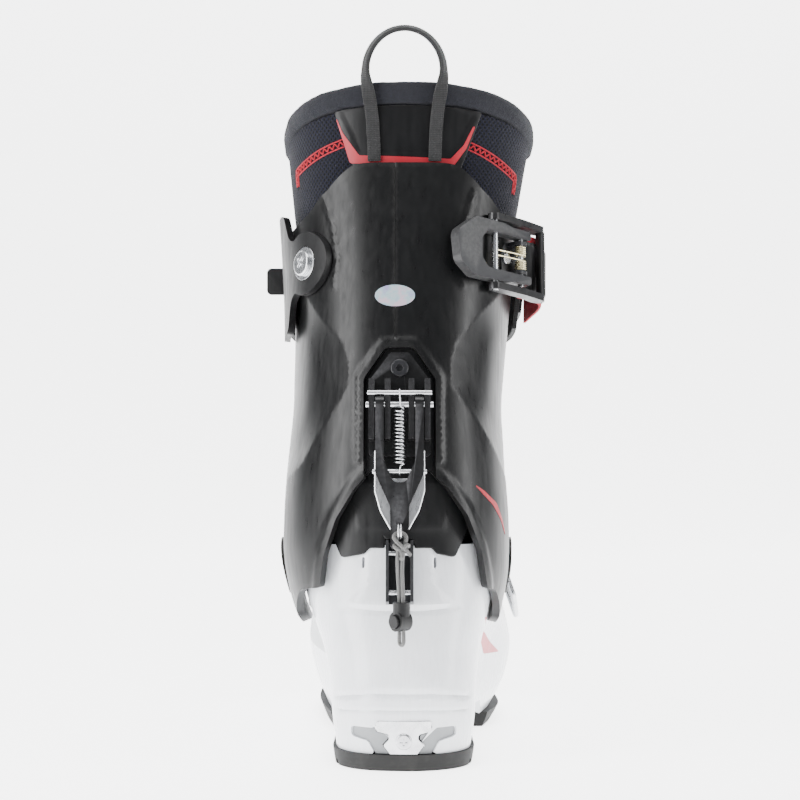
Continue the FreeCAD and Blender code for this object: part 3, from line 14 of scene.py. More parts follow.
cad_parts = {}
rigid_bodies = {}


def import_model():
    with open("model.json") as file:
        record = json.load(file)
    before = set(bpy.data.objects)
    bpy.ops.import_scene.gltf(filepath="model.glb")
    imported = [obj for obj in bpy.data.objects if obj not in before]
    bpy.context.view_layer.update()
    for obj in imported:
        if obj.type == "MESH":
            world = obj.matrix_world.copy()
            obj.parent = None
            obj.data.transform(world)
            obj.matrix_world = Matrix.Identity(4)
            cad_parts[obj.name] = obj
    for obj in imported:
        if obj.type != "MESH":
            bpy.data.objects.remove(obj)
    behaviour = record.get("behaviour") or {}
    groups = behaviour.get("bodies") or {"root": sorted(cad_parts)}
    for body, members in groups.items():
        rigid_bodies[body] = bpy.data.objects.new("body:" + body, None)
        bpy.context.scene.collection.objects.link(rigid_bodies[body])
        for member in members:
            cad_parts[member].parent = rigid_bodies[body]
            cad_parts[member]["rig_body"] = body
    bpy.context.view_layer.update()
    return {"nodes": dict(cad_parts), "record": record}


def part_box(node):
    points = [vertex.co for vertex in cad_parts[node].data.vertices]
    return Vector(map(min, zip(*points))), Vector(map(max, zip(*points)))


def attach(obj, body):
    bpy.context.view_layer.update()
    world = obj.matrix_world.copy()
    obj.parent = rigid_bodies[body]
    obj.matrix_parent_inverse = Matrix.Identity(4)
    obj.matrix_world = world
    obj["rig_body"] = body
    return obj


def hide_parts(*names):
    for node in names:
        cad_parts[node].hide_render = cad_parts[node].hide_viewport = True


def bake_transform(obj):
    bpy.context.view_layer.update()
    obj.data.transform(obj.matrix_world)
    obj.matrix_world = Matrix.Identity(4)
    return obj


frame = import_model()

MM = 0.001
NODES = frame["nodes"]

# ---------------------------------------------------------------- the boot's outlines, as in the CAD model
# height, rear y, rear cap length, rear half width outer / inner side,
# front y, front cap length outer / inner side, front half width outer / inner side
SHELL = [
    (8, -32.5, 34, 33.5, 33.5, 250, 95, 70, 49, 44),
    (22, -34.0, 36, 35.5, 35.5, 254, 95, 70, 57, 50),
    (40, -34.5, 38, 36.5, 37.0, 253, 95, 70, 61, 54),
    (56, -32.5, 42, 38.5, 40.0, 240, 100, 75, 58.5, 52.5),
    (70, -29.5, 46, 42.0, 45.0, 210, 95, 75, 54, 50.5),
    (84, -26.5, 50, 45.0, 49.8, 174, 80, 70, 48.5, 51),
    (98, -23.0, 52, 46.8, 52.8, 146, 68, 66, 47, 53),
    (112, -20.5, 54, 47.0, 54.0, 126, 64, 64, 46, 52.5),
    (130, -18.0, 55, 46.5, 53.5, 113, 62, 62, 45, 51),
    (150, -16.0, 56, 45.5, 52.0, 107, 60, 60, 44, 49.5),
]
CUFF = [
    (62, -29.0, 60, 47.5, 51.0, 131, 66, 66, 49.5, 53),
    (78, -29.5, 62, 51.5, 57.5, 131, 66, 66, 53, 58.5),
    (93, -30.0, 64, 54.5, 61.5, 130, 66, 66, 55, 61.5),
    (107, -29.5, 65, 55.5, 63.5, 128, 66, 66, 55.5, 63),
    (123, -29.0, 66, 55.5, 63.5, 125, 66, 66, 55.5, 63),
    (140, -28.0, 66, 54.5, 62.5, 122, 66, 66, 54.5, 61.5),
    (160, -25.8, 66, 53.5, 60.5, 119.5, 66, 66, 53.5, 59.5),
    (176, -23.2, 66, 52.8, 59.0, 120, 68, 68, 53, 58.5),
    (192, -20.6, 67, 54.0, 58.7, 121, 68, 68, 54, 58),
    (212, -17.0, 68, 56.0, 58.5, 125.5, 68, 68, 56, 58),
    (235, -12.0, 68, 58.5, 59.2, 131, 68, 68, 58.5, 59),
    (258, -6.3, 67, 61.5, 60.8, 137, 68, 68, 60.5, 60),
    (280, -0.5, 66, 65.5, 63.0, 143, 68, 68, 62, 61),
    (304, 5.5, 66, 68.5, 65.0, 149, 68, 68, 64, 63),
]
LINER = [
    (170, -18.6, 60, 47.5, 53.5, 111, 60, 60, 47.5, 53),
    (192, -15.1, 61, 48.5, 53.2, 115.5, 62, 62, 48.5, 52.5),
    (212, -11.5, 62, 50.5, 53.0, 120, 62, 62, 50.5, 52.5),
    (235, -6.5, 62, 53.0, 53.7, 125.5, 62, 62, 53, 53.5),
    (258, -0.8, 61, 56.0, 55.3, 131, 62, 62, 55, 54.5),
    (280, 5.0, 60, 60.3, 57.8, 136, 62, 62, 57, 56),
    (300, 10.0, 60, 64.0, 60.0, 139, 62, 62, 61, 58.5),
    (323, 10.0, 62, 68.0, 62.0, 141, 62, 62, 65, 61),
    (348, 9.0, 62, 68.5, 63.0, 142, 62, 62, 66, 62),
]
ROUNDNESS = 2.3


def level_at(table, height):
    """One level's values at any height, smooth between the table's rows."""
    if height <= table[0][0]:
        return list(table[0])
    if height >= table[-1][0]:
        return list(table[-1])
    low = max(i for i, row in enumerate(table) if row[0] <= height)
    below, above = table[low], table[low + 1]
    span = above[0] - below[0]
    t = (height - below[0]) / span

    def slope(i, k):
        first, last = table[max(i - 1, 0)], table[min(i + 1, len(table) - 1)]
        return (last[k] - first[k]) / (last[0] - first[0]) * span

    return [
        (2 * t**3 - 3 * t**2 + 1) * below[k] + (t**3 - 2 * t**2 + t) * slope(low, k)
        + (3 * t**2 - 2 * t**3) * above[k] + (t**3 - t**2) * slope(low + 1, k)
        for k in range(len(below))
    ]


def half_width(level, inset, side, y):
    """Half widths at an array of y of a level's outline on one side, moved in by inset."""
    _, rear, rear_cap, rear_out, rear_in, front, cap_out, cap_in, front_out, front_in = level
    rear, front = rear + inset, front - inset
    wide_rear = (rear_out if side > 0 else rear_in) - inset
    wide_front = (front_out if side > 0 else front_in) - inset
    start = rear + rear_cap
    stop = front - (cap_out if side > 0 else cap_in)
    if stop < start + 1:
        start = stop = (start + stop) / 2
    along = np.clip((y - start) / max(stop - start, 1e-6), 0, 1)
    along = np.maximum(along - 0.35, 0) / 0.65
    width = wide_rear + (wide_front - wide_rear) * along * along * (3 - 2 * along)
    into_cap = np.where(y < start, (start - y) / (start - rear), np.where(y > stop, (y - stop) / (front - stop), 0))
    return width * np.maximum(1 - np.clip(into_cap, 0, 1) ** ROUNDNESS, 0) ** (1 / ROUNDNESS)


class Surface:
    """A table's skin, addressed by round (-1 front, 0 rear, 1 front again, positive on the outer side)
    and height."""

    STEPS = 150

    def __init__(self, table, inset=0.0, low=None, high=None):
        self.low = table[0][0] if low is None else low
        self.high = table[-1][0] if high is None else high
        self.heights = np.linspace(self.low, self.high, int(self.high - self.low) + 1)
        fraction = (1 - np.cos(np.pi * np.arange(241) / 240)) / 2
        rows = []
        for z in self.heights:
            level = level_at(table, z)
            y = level[1] + inset + (level[5] - level[1] - 2 * inset) * fraction
            halves = []
            for side in (-1, 1):
                x = side * half_width(level, inset, side, y)
                run = np.concatenate([[0], np.cumsum(np.hypot(np.diff(x), np.diff(y)))])
                even = np.linspace(0, run[-1], self.STEPS + 1)
                halves.append(np.stack([np.interp(even, run, x), np.interp(even, run, y)], 1))
            loop = np.concatenate([halves[0][:0:-1], halves[1]])
            rows.append(np.column_stack([loop, np.full(len(loop), z)]))
        self.points = np.array(rows)
        across = np.gradient(self.points, axis=1)
        across[:, 0] = across[:, -1] = (across[:, 0] + across[:, -1]) / 2
        upward = np.gradient(self.points, axis=0)
        normals = np.cross(across, upward)
        self.normals = normals / np.linalg.norm(normals, axis=2, keepdims=True)

    def round_at(self, x, height):
        """Round of the rear half's points that stand at x in the rear view."""
        out = []
        for one_x, z in zip(np.ravel(x), np.ravel(height)):
            row = self.points[int(round(np.clip((z - self.low) / (self.heights[1] - self.heights[0]),
                                                0, len(self.heights) - 1)))]
            half = slice(int(self.STEPS * 0.66), int(self.STEPS * 1.34) + 1)
            out.append(np.interp(one_x, row[half, 0], np.arange(half.start, half.stop)) / self.STEPS - 1)
        return np.array(out)

    def round_beside(self, side, y, height):
        """Round of one side's points that stand at y in the side view."""
        out = []
        for one_y, z in zip(np.ravel(y), np.ravel(height)):
            row = self.points[int(round(np.clip((z - self.low) / (self.heights[1] - self.heights[0]),
                                                0, len(self.heights) - 1)))]
            half = row[self.STEPS:, 1] if side > 0 else row[self.STEPS::-1, 1]
            out.append(side * np.interp(one_y, half, np.arange(len(half))) / self.STEPS)
        return np.array(out)

    def sample(self, grid, around, height):
        column = np.clip((np.asarray(around) + 1) * self.STEPS, 0, 2 * self.STEPS - 1e-6)
        row = np.clip((np.asarray(height) - self.low) / (self.heights[1] - self.heights[0]),
                      0, len(self.heights) - 1 - 1e-6)
        i, j = row.astype(int), column.astype(int)
        v, u = (row - i)[..., None], (column - j)[..., None]
        return ((grid[i, j] * (1 - u) + grid[i, j + 1] * u) * (1 - v)
                + (grid[i + 1, j] * (1 - u) + grid[i + 1, j + 1] * u) * v)

    def at(self, around, height):
        return self.sample(self.points, around, height)

    def normal(self, around, height):
        n = self.sample(self.normals, around, height)
        return n / np.linalg.norm(n, axis=-1, keepdims=True)


# ---------------------------------------------------------------- flat outlines
def rounded(points, step=1.5):
    """Closed outline as an array. Each point is two coordinates and its corner radius."""
    out = []
    total = len(points)
    for i, (x, y, radius) in enumerate(points):
        here = np.array([x, y], float)
        back = np.array(points[i - 1][:2], float) - here
        on = np.array(points[(i + 1) % total][:2], float) - here
        length_back, length_on = np.linalg.norm(back), np.linalg.norm(on)
        back, on = back / length_back, on / length_on
        half = math.acos(float(np.clip(back @ on, -1, 1))) / 2
        if radius <= 0 or half > math.pi / 2 - 1e-3:
            out.append(here)
            continue
        reach = min(radius / math.tan(half), 0.49 * length_back, 0.49 * length_on)
        radius = reach * math.tan(half)
        middle = (back + on) / np.linalg.norm(back + on)
        centre = here + middle * radius / math.sin(half)
        first, last = here + back * reach - centre, here + on * reach - centre
        turn = math.atan2(first[0] * last[1] - first[1] * last[0], first @ last)
        count = max(3, int(abs(turn) * radius / step) + 2)
        for k in range(count):
            angle = turn * k / (count - 1)
            c, s = math.cos(angle), math.sin(angle)
            out.append(centre + np.array([c * first[0] - s * first[1], s * first[0] + c * first[1]]))
    return np.array(out)


def clearance(outline, u, v):
    """Signed distance of points to a closed outline: positive outside, negative inside."""
    u, v = np.asarray(u, float), np.asarray(v, float)
    nearest = np.full(u.shape, 1e9)
    inside = np.zeros(u.shape, bool)
    for (x0, y0), (x1, y1) in zip(outline, np.roll(outline, -1, axis=0)):
        dx, dy = x1 - x0, y1 - y0
        t = np.clip(((u - x0) * dx + (v - y0) * dy) / (dx * dx + dy * dy + 1e-12), 0, 1)
        nearest = np.minimum(nearest, np.hypot(u - x0 - t * dx, v - y0 - t * dy))
        if dy:
            inside ^= ((y0 > v) != (y1 > v)) & (u < x0 + (v - y0) * dx / dy)
    return np.where(inside, -nearest, nearest)


# ---------------------------------------------------------------- skins cut out of a surface
WIDE = 230.0      # round 1 counts as this many mm, so that round and height make an even plane


def boundary_loops(values, us, vs):
    """Closed loops around the region where values are positive, by marching squares."""
    padded = np.pad(values, 1, constant_values=-1e-3)
    step_u, step_v = us[1] - us[0], vs[1] - vs[0]
    us = np.concatenate([[us[0] - step_u * 1e-3], us, [us[-1] + step_u * 1e-3]])
    vs = np.concatenate([[vs[0] - step_v * 1e-3], vs, [vs[-1] + step_v * 1e-3]])
    positive = padded > 0
    links = {}

    def crossing(a, b):
        (i0, j0), (i1, j1) = a, b
        t = padded[a] / (padded[a] - padded[b])
        return (us[j0] + (us[j1] - us[j0]) * t, vs[i0] + (vs[i1] - vs[i0]) * t)

    mixed = positive[:-1, :-1].astype(int) + positive[1:, :-1] + positive[:-1, 1:] + positive[1:, 1:]
    for i, j in np.argwhere((mixed > 0) & (mixed < 4)):
        i, j = int(i), int(j)
        corners = [(i, j), (i, j + 1), (i + 1, j + 1), (i + 1, j)]
        leaving, entering = [], []
        for k in range(4):
            a, b = corners[k], corners[(k + 1) % 4]
            if positive[a] != positive[b]:
                (leaving if positive[a] else entering).append((min(a, b), max(a, b)))
        for edge_out, edge_in in zip(leaving, entering[::-1]):
            links[edge_in] = edge_out
    loops = []
    while links:
        first, here = next(iter(links.items()))
        keys = [first]
        del links[first]
        while here in links:
            keys.append(here)
            here = links.pop(here)
        loops.append(np.array([crossing(a, b) for a, b in keys]))
    return [loop for loop in loops if len(loop) > 8]


def evenly(line, spacing, whole=True):
    """Points a spacing apart along a polyline, with its two ends if whole."""
    run = np.concatenate([[0], np.cumsum(np.linalg.norm(np.diff(line, axis=0), axis=1))])
    count = max(2, int(round(run[-1] / spacing)))
    at = np.linspace(0, run[-1], count + 1)
    points = np.stack([np.interp(at, run, line[:, k]) for k in range(line.shape[1])], 1)
    return points if whole else points[1:-1]


def even_loop(loop, spacing, seam):
    """A loop with evenly spaced points. Runs along the seam get the same points on both sides."""
    on_seam = np.abs(np.abs(loop[:, 0]) - seam) < 1e-2 if seam else np.zeros(len(loop), bool)
    if not on_seam.any() or on_seam.all():
        return evenly(np.concatenate([loop, loop[:1]]), spacing)[:-1]
    first = int(np.argmax(on_seam & ~np.roll(on_seam, 1)))
    loop, on_seam = np.roll(loop, -first, axis=0), np.roll(on_seam, -first)
    starts = [k for k in range(len(loop)) if k == 0 or on_seam[k] != on_seam[k - 1]] + [len(loop)]
    out = []
    for a, b in zip(starts, starts[1:]):
        if on_seam[a]:
            points = evenly(loop[a:b], spacing)
            points[:, 0] = np.sign(points[:, 0]) * seam
        else:
            points = evenly(np.concatenate([loop[a - 1:b], loop[b % len(loop)][None]]), spacing, False)
        out.append(points)
    return np.concatenate(out)


def line_distance(line, points):
    """Distance of flat points to an open polyline."""
    nearest = np.full(len(points), 1e9)
    for a, b in zip(line, line[1:]):
        d = b - a
        t = np.clip(((points - a) @ d) / (d @ d + 1e-12), 0, 1)
        nearest = np.minimum(nearest, np.linalg.norm(points - a - t[:, None] * d, axis=1))
    return nearest


def soft(t):
    """0 to 1 with smooth ends."""
    t = np.clip(t, 0, 1)
    return t * t * (3 - 2 * t)


class Relief:
    """Grooves and steps of a skin. Outlines are in the rear view, as x and z."""

    def __init__(self, surface):
        self.surface = surface
        self.lines = []
        self.moves = []

    def flat(self, outline):
        """Rear-view points put in the plane of round and height."""
        outline = np.asarray(outline, float)[:, :2]
        return np.column_stack([self.surface.round_at(outline[:, 0], outline[:, 1]) * WIDE, outline[:, 1]])

    def groove(self, route, width, depth):
        """A V along a route; a negative depth makes a ridge."""
        line = self.flat(route)
        way = np.gradient(line, axis=0)
        way /= np.linalg.norm(way, axis=1, keepdims=True)
        beside = np.column_stack([-way[:, 1], way[:, 0]]) * width
        self.lines += [line, line + beside, line - beside]
        self.moves.append(lambda p: -depth * (1 - soft(line_distance(line, p) / width)))

    def step(self, outline, ramp, lift):
        """Inside the outline the skin stands lift higher, and it falls off over the ramp from a crisp edge."""
        flat = self.flat(outline)
        self.lines.append(np.concatenate([flat, flat[:1]]))

        def move(points):
            away = np.clip(clearance(flat, points[:, 0], points[:, 1]) / ramp, 0, 1)
            return lift * (1 - away) ** 2

        self.moves.append(move)

    def lift(self, flat):
        return sum((move(flat) for move in self.moves), np.zeros(len(flat)))


def skin(name, surface, keep, spacing=2.5, relief=None, closed=False, tall=1.0, lift=None):
    """Open mesh of the part of a surface where keep(x, y, z) is positive.

    tall sets the spacing in height against that around, and closed joins the skin at the front.
    """
    us = np.linspace(-WIDE, WIDE, 461)
    vs = np.linspace(surface.low, surface.high, int(surface.high - surface.low) + 1)

    def wanted(flat):
        place = surface.at(flat[..., 0] / WIDE, flat[..., 1])
        return keep(place[..., 0], place[..., 1], place[..., 2])

    grid = np.stack(np.meshgrid(us, vs), -1)
    squash = np.array([1, 1 / tall])
    coords, edges = [], []

    def add_chain(points, round_trip):
        start = sum(len(part) for part in coords)
        coords.append(points)
        last = len(points) if round_trip else len(points) - 1
        edges.extend((start + k, start + (k + 1) % len(points)) for k in range(last))

    for loop in boundary_loops(wanted(grid), us, vs):
        add_chain(even_loop(loop * squash, spacing * 0.75, WIDE if closed else 0.0), True)
    rim = len(np.concatenate(coords))
    for line in (relief.lines if relief else []):
        points = evenly(line * squash, spacing * 0.8)
        good = wanted(points / squash) > spacing * 0.4
        starts = [k for k in range(len(good)) if good[k] and (k == 0 or not good[k - 1])]
        for a in starts:
            b = a
            while b < len(good) and good[b]:
                b += 1
            if b - a > 2:
                add_chain(points[a:b], False)
    fixed = np.concatenate(coords)
    rows = np.arange(surface.low / tall, surface.high / tall, spacing * 0.87)
    free = np.concatenate([
        np.column_stack([np.arange(-WIDE + (k % 2) * spacing / 2, WIDE, spacing)[:int(2 * WIDE / spacing) - 1],
                         np.full(int(2 * WIDE / spacing) - 1, row)])
        for k, row in enumerate(rows)
    ])
    free = free[wanted(free / squash) > spacing * 0.4]
    far = np.ones(len(free), bool)
    for part in np.array_split(fixed, max(1, len(fixed) // 64)):
        gap = np.hypot(free[:, None, 0] - part[None, :, 0], free[:, None, 1] - part[None, :, 1])
        far &= gap.min(1) > spacing * 0.5
    everything = np.concatenate([fixed, free[far]])
    verts, _, faces, *_ = delaunay_2d_cdt([Vector(c) for c in everything], edges, [], 0, 1e-6)
    flat = np.array([(v.x, v.y) for v in verts]) / squash
    faces = [list(face) for face in faces]
    middle = np.array([flat[face].mean(0) for face in faces])
    inside = wanted(middle) > 0
    points = surface.at(flat[:, 0] / WIDE, flat[:, 1])
    normals = surface.normal(flat[:, 0] / WIDE, flat[:, 1])
    if relief is not None:
        points = points + normals * relief.lift(flat)[:, None]
    if lift is not None:
        points = points + normals * lift(points, flat)[:, None]
    mesh = bpy.data.meshes.new(name)
    mesh.from_pydata([tuple(p * MM) for p in points], [],
                     [face for face, good in zip(faces, inside) if good])
    layer = mesh.uv_layers.new(name="flat")
    for loop in mesh.loops:
        layer.data[loop.index].uv = flat[loop.vertex_index] * MM
    work = bmesh.new()
    work.from_mesh(mesh)
    bmesh.ops.delete(work, geom=[v for v in work.verts if not v.link_faces], context="VERTS")
    if closed:
        bmesh.ops.remove_doubles(work, verts=work.verts, dist=0.05 * MM)
    for face in work.faces:
        centre = face.calc_center_median() / MM
        if face.normal.dot(Vector(outward_at(surface, centre))) < 0:
            face.normal_flip()
    work.to_mesh(mesh)
    work.free()
    return put(name, mesh)


def outward_at(surface, place):
    """Rough way out of a surface at a place: away from the middle of its level."""
    level = surface.points[int(np.clip((place[2] - surface.low), 0, len(surface.heights) - 1))]
    middle_y = np.clip(place[1], level[:, 1].min() + 40, level[:, 1].max() - 40)
    return (place[0], place[1] - middle_y, 0)


def put(name, mesh):
    obj = bpy.data.objects.new(name, mesh)
    bpy.context.scene.collection.objects.link(obj)
    return obj


def apply_modifiers(obj):
    """Bakes an object's modifiers into its mesh."""
    graph = bpy.context.evaluated_depsgraph_get()
    mesh = bpy.data.meshes.new_from_object(obj.evaluated_get(graph))
    obj.modifiers.clear()
    obj.data = mesh
    return obj


def smooth(obj, angle=40):
    """Smooth shading, with creases where faces meet at more than angle degrees."""
    work = bmesh.new()
    work.from_mesh(obj.data)
    for face in work.faces:
        face.smooth = True
    for edge in work.edges:
        edge.smooth = len(edge.link_faces) != 2 or edge.calc_face_angle(0) < math.radians(angle)
    work.to_mesh(obj.data)
    work.free()
    return obj


def bevelled(obj, width, segments=2, angle=35):
    """Rounds an object's edges and keeps its flat faces flat in shading."""
    bevel = obj.modifiers.new("edges", "BEVEL")
    bevel.width = width * MM
    bevel.segments = segments
    bevel.limit_method = "ANGLE"
    bevel.angle_limit = math.radians(angle)
    apply_modifiers(obj)
    smooth(obj, 38)
    flatten = obj.modifiers.new("normals", "WEIGHTED_NORMAL")
    flatten.keep_sharp = True
    return apply_modifiers(obj)


def thicken(obj, depth, edge=0.6, segments=3):
    """Gives a skin its thickness inwards and rounds its rims."""
    solid = obj.modifiers.new("thickness", "SOLIDIFY")
    solid.thickness = depth * MM
    solid.offset = -1.0
    solid.use_even_offset = True
    solid.use_quality_normals = True
    if not edge:
        apply_modifiers(obj)
        return smooth(obj, 50)
    return bevelled(obj, edge, segments, 50)


class Shape:
    """Collects rings of points, in mm, and makes one object of them."""

    def __init__(self):
        self.points = []
        self.faces = []

    def rings(self, rings, ends=True, circular=False):
        """A tube through rings of equal counts. circular joins the last ring to the first."""
        start, count = len(self.points), len(rings[0])
        for ring in rings:
            self.points += [tuple(np.asarray(p) * MM) for p in ring]
        last = len(rings) if circular else len(rings) - 1
        for i in range(last):
            a, b = start + i * count, start + (i + 1) % len(rings) * count
            for k in range(count):
                n = (k + 1) % count
                self.faces.append((a + k, a + n, b + n, b + k))
        if ends and not circular:
            self.faces.append(tuple(start + k for k in reversed(range(count))))
            self.faces.append(tuple(start + (len(rings) - 1) * count + k for k in range(count)))

    def bead(self, points, normals, width, height, taper=True):
        """Half-round strip along a route on a surface."""
        way = np.gradient(points, axis=0)
        way /= np.linalg.norm(way, axis=1, keepdims=True)
        beside = np.cross(way, normals)
        section = [(-1, -0.4), (-0.85, 0.5), (-0.4, 0.95), (0.4, 0.95), (0.85, 0.5), (1, -0.4)]
        size = np.ones(len(points))
        if taper:
            size[0] = size[-1] = 0.55
        self.rings([
            [p + b * u * width / 2 * k + n * (v * height * k) for u, v in section]
            for p, n, b, k in zip(points, normals, beside, size)
        ])

    def tube(self, points, radius, sides=10, circular=False):
        """Round wire along points, with a frame carried from point to point."""
        points = np.asarray(points, float)
        if circular:
            way = np.roll(points, -1, axis=0) - np.roll(points, 1, axis=0)
        else:
            way = np.gradient(points, axis=0)
        way /= np.linalg.norm(way, axis=1, keepdims=True)
        start = np.array([0, 0, 1.0]) if abs(way[0][2]) < 0.9 else np.array([1.0, 0, 0])
        rings = []
        for p, w in zip(points, way):
            start = start - w * (start @ w)
            start /= np.linalg.norm(start)
            other = np.cross(w, start)
            angles = 2 * np.pi * np.arange(sides) / sides
            rings.append([p + radius * (math.cos(a) * start + math.sin(a) * other) for a in angles])
        self.rings(rings, circular=circular)

    def turned(self, profile, centre, axis, sides=32):
        """Solid of revolution of radius and height pairs about an axis."""
        axis = np.asarray(axis, float) / np.linalg.norm(axis)
        start = np.cross(axis, [0, 0, 1.0] if abs(axis[2]) < 0.9 else [1.0, 0, 0])
        start /= np.linalg.norm(start)
        other = np.cross(axis, start)
        angles = 2 * np.pi * np.arange(sides) / sides
        self.rings([
            [np.asarray(centre) + axis * h + r * (math.cos(a) * start + math.sin(a) * other) for a in angles]
            for r, h in profile
        ])

    def piece(self, name, angle=40):
        mesh = bpy.data.meshes.new(name)
        mesh.from_pydata(self.points, [], self.faces)
        obj = put(name, mesh)
        work = bmesh.new()
        work.from_mesh(mesh)
        bmesh.ops.recalc_face_normals(work, faces=work.faces)
        work.to_mesh(mesh)
        work.free()
        return smooth(obj, angle)


def refined(node, width=0.35, segments=2):
    """Copy of a CAD node's mesh with its flat faces joined up again and its edges rounded."""
    obj = put(f"{node}_detail", NODES[node].data.copy())
    work = bmesh.new()
    work.from_mesh(obj.data)
    bmesh.ops.remove_doubles(work, verts=work.verts, dist=0.004 * MM)
    bmesh.ops.dissolve_limit(work, angle_limit=math.radians(0.6), verts=work.verts, edges=work.edges)
    work.to_mesh(obj.data)
    work.free()
    return bevelled(obj, width, segments) if width else smooth(obj, 38)


def rounded_line(points, rounds=3):
    """Open line with its corners cut again and again until it is smooth."""
    points = np.asarray(points, float)
    for _ in range(rounds):
        a, b = points[:-1], points[1:]
        cut = np.stack([0.75 * a + 0.25 * b, 0.25 * a + 0.75 * b], 1).reshape(-1, points.shape[1])
        points = np.concatenate([points[:1], cut, points[-1:]])
    return points


def on_surface(surface, flat, lift=0.0):
    """Places and outward normals of points of the round and height plane."""
    places = surface.at(flat[:, 0] / WIDE, flat[:, 1])
    normals = surface.normal(flat[:, 0] / WIDE, flat[:, 1])
    return places + normals * lift, normals


# ---------------------------------------------------------------- materials
class Paint:
    """One procedural material. Lengths are in mm of the object's own space."""

    def __init__(self, name, colour, roughness, metallic=0.0, **sockets):
        self.material = bpy.data.materials.new(name)
        self.material.use_nodes = True
        self.tree = self.material.node_tree
        self.shader = self.tree.nodes["Principled BSDF"]
        self.shader.inputs["Base Color"].default_value = (*colour, 1)
        self.shader.inputs["Roughness"].default_value = roughness
        self.shader.inputs["Metallic"].default_value = metallic
        for socket, value in sockets.items():
            self.shader.inputs[socket.replace("_", " ")].default_value = value
        self.last_normal = None

    def node(self, kind, **settings):
        made = self.tree.nodes.new(kind)
        for key, value in settings.items():
            if key in made.inputs:
                made.inputs[key].default_value = value
            else:
                setattr(made, key, value)
        return made

    def link(self, start, end):
        self.tree.links.new(start, end)

    def place(self, stretch=(1, 1, 1), turn=0.0, flat=False):
        """Coordinates in mm, of the object or of a skin's own flat plane."""
        source = self.node("ShaderNodeTexCoord").outputs["UV" if flat else "Object"]
        mapping = self.node("ShaderNodeMapping")
        mapping.inputs["Scale"].default_value = [1000 * s for s in stretch]
        mapping.inputs["Rotation"].default_value = (0, 0, math.radians(turn))
        self.link(source, mapping.inputs["Vector"])
        return mapping.outputs["Vector"]

    def noise(self, size, detail=3.0, stretch=(1, 1, 1), rough=0.55):
        """Cloudy values with features about size mm across."""
        made = self.node("ShaderNodeTexNoise", Scale=1 / size, Detail=detail, Roughness=rough)
        self.link(self.place(stretch), made.inputs["Vector"])
        return made.outputs["Fac"]

    def cells(self, size, flat=False, kind="F1", randomness=0.0, turn=0.0):
        made = self.node("ShaderNodeTexVoronoi", Scale=1 / size, Randomness=randomness)
        made.feature = kind
        if flat:
            made.voronoi_dimensions = "2D"
        self.link(self.place(turn=turn, flat=flat), made.inputs["Vector"])
        return made.outputs["Distance"]

    def waves(self, size, axis="X", turn=0.0, flat=False, profile="SIN", warp=0.0):
        made = self.node("ShaderNodeTexWave", Scale=0.314 / size, Distortion=warp)
        made.bands_direction = axis
        made.wave_profile = profile
        self.link(self.place(turn=turn, flat=flat), made.inputs["Vector"])
        return made.outputs["Fac"]

    def remap(self, value, low, high, to_low, to_high):
        made = self.node("ShaderNodeMapRange")
        for key, number in zip(("From Min", "From Max", "To Min", "To Max"), (low, high, to_low, to_high)):
            made.inputs[key].default_value = number
        self.link(value, made.inputs["Value"])
        return made.outputs["Result"]

    def maths(self, kind, a, b):
        made = self.node("ShaderNodeMath", operation=kind)
        self.link(a, made.inputs[0])
        if isinstance(b, (int, float)):
            made.inputs[1].default_value = b
        else:
            self.link(b, made.inputs[1])
        return made.outputs[0]

    def mix(self, factor, first, second):
        """Colours between first and second. Each is a colour or a node's output."""
        made = self.node("ShaderNodeMix", data_type="RGBA")
        self.link(factor, made.inputs[0])
        for socket, value in ((made.inputs[6], first), (made.inputs[7], second)):
            if isinstance(value, tuple):
                socket.default_value = (*value, 1)
            else:
                self.link(value, socket)
        return made.outputs[2]

    def colour(self, value):
        self.link(value, self.shader.inputs["Base Color"])

    def roughness(self, value):
        self.link(value, self.shader.inputs["Roughness"])

    def bump(self, height, depth, strength=1.0):
        """Relief of depth mm."""
        made = self.node("ShaderNodeBump", Distance=depth * MM, Strength=strength)
        self.link(height, made.inputs["Height"])
        if self.last_normal is not None:
            self.link(self.last_normal, made.inputs["Normal"])
        self.last_normal = made.outputs["Normal"]
        self.link(self.last_normal, self.shader.inputs["Normal"])

    def edge_wear_and_highlight(self, base, wear_and_highlight, low=0.53, high=0.62):
        """Mixes in a lighter colour along sharp edges: rubbed wear on most materials, and on the black metal a painted
        highlight that makes its edges look lit.
        """
        pointed = self.node("ShaderNodeNewGeometry").outputs["Pointiness"]
        ragged = self.maths("MULTIPLY", self.remap(pointed, low, high, 0, 1), self.noise(1.6, 4))
        return self.mix(ragged, base, wear_and_highlight)


def moulded(name, colour, roughness, grain=0.35, depth=0.02, wear_and_highlight=None, **sockets):
    """Injection-moulded plastic: mottled gloss, fine grain, faint flow marks and scuffs."""
    paint = Paint(name, colour, roughness, **sockets)
    clouds = paint.noise(28, 4)
    darker = tuple(c * 0.9 for c in colour)
    tone = paint.mix(paint.remap(clouds, 0.35, 0.65, 0, 1), darker, colour)
    if wear_and_highlight:
        tone = paint.edge_wear_and_highlight(tone, wear_and_highlight)
    paint.colour(tone)
    scuffs = paint.noise(2.2, 5, (1, 1, 0.12))
    paint.roughness(paint.remap(scuffs, 0.3, 0.75, roughness * 0.82, roughness * 1.3))
    paint.bump(paint.noise(grain, 2), depth)
    paint.bump(paint.noise(14, 2), 0.05)
    return paint.material


def metal(name, colour, roughness, brushed=(1, 1, 0.05), depth=0.012):
    """Metal with brush lines, smudges and small dents."""
    paint = Paint(name, colour, roughness, 1.0)
    lines = paint.noise(0.5, 2, brushed)
    smudges = paint.noise(6, 4)
    paint.roughness(paint.maths("ADD", paint.remap(lines, 0.3, 0.7, roughness * 0.7, roughness * 1.2),
                                paint.remap(smudges, 0.4, 0.8, 0, 0.12)))
    dull = tuple(c * 0.72 for c in colour)
    paint.colour(paint.mix(paint.remap(smudges, 0.3, 0.8, 0, 1), colour, dull))
    paint.bump(lines, depth)
    return paint.material


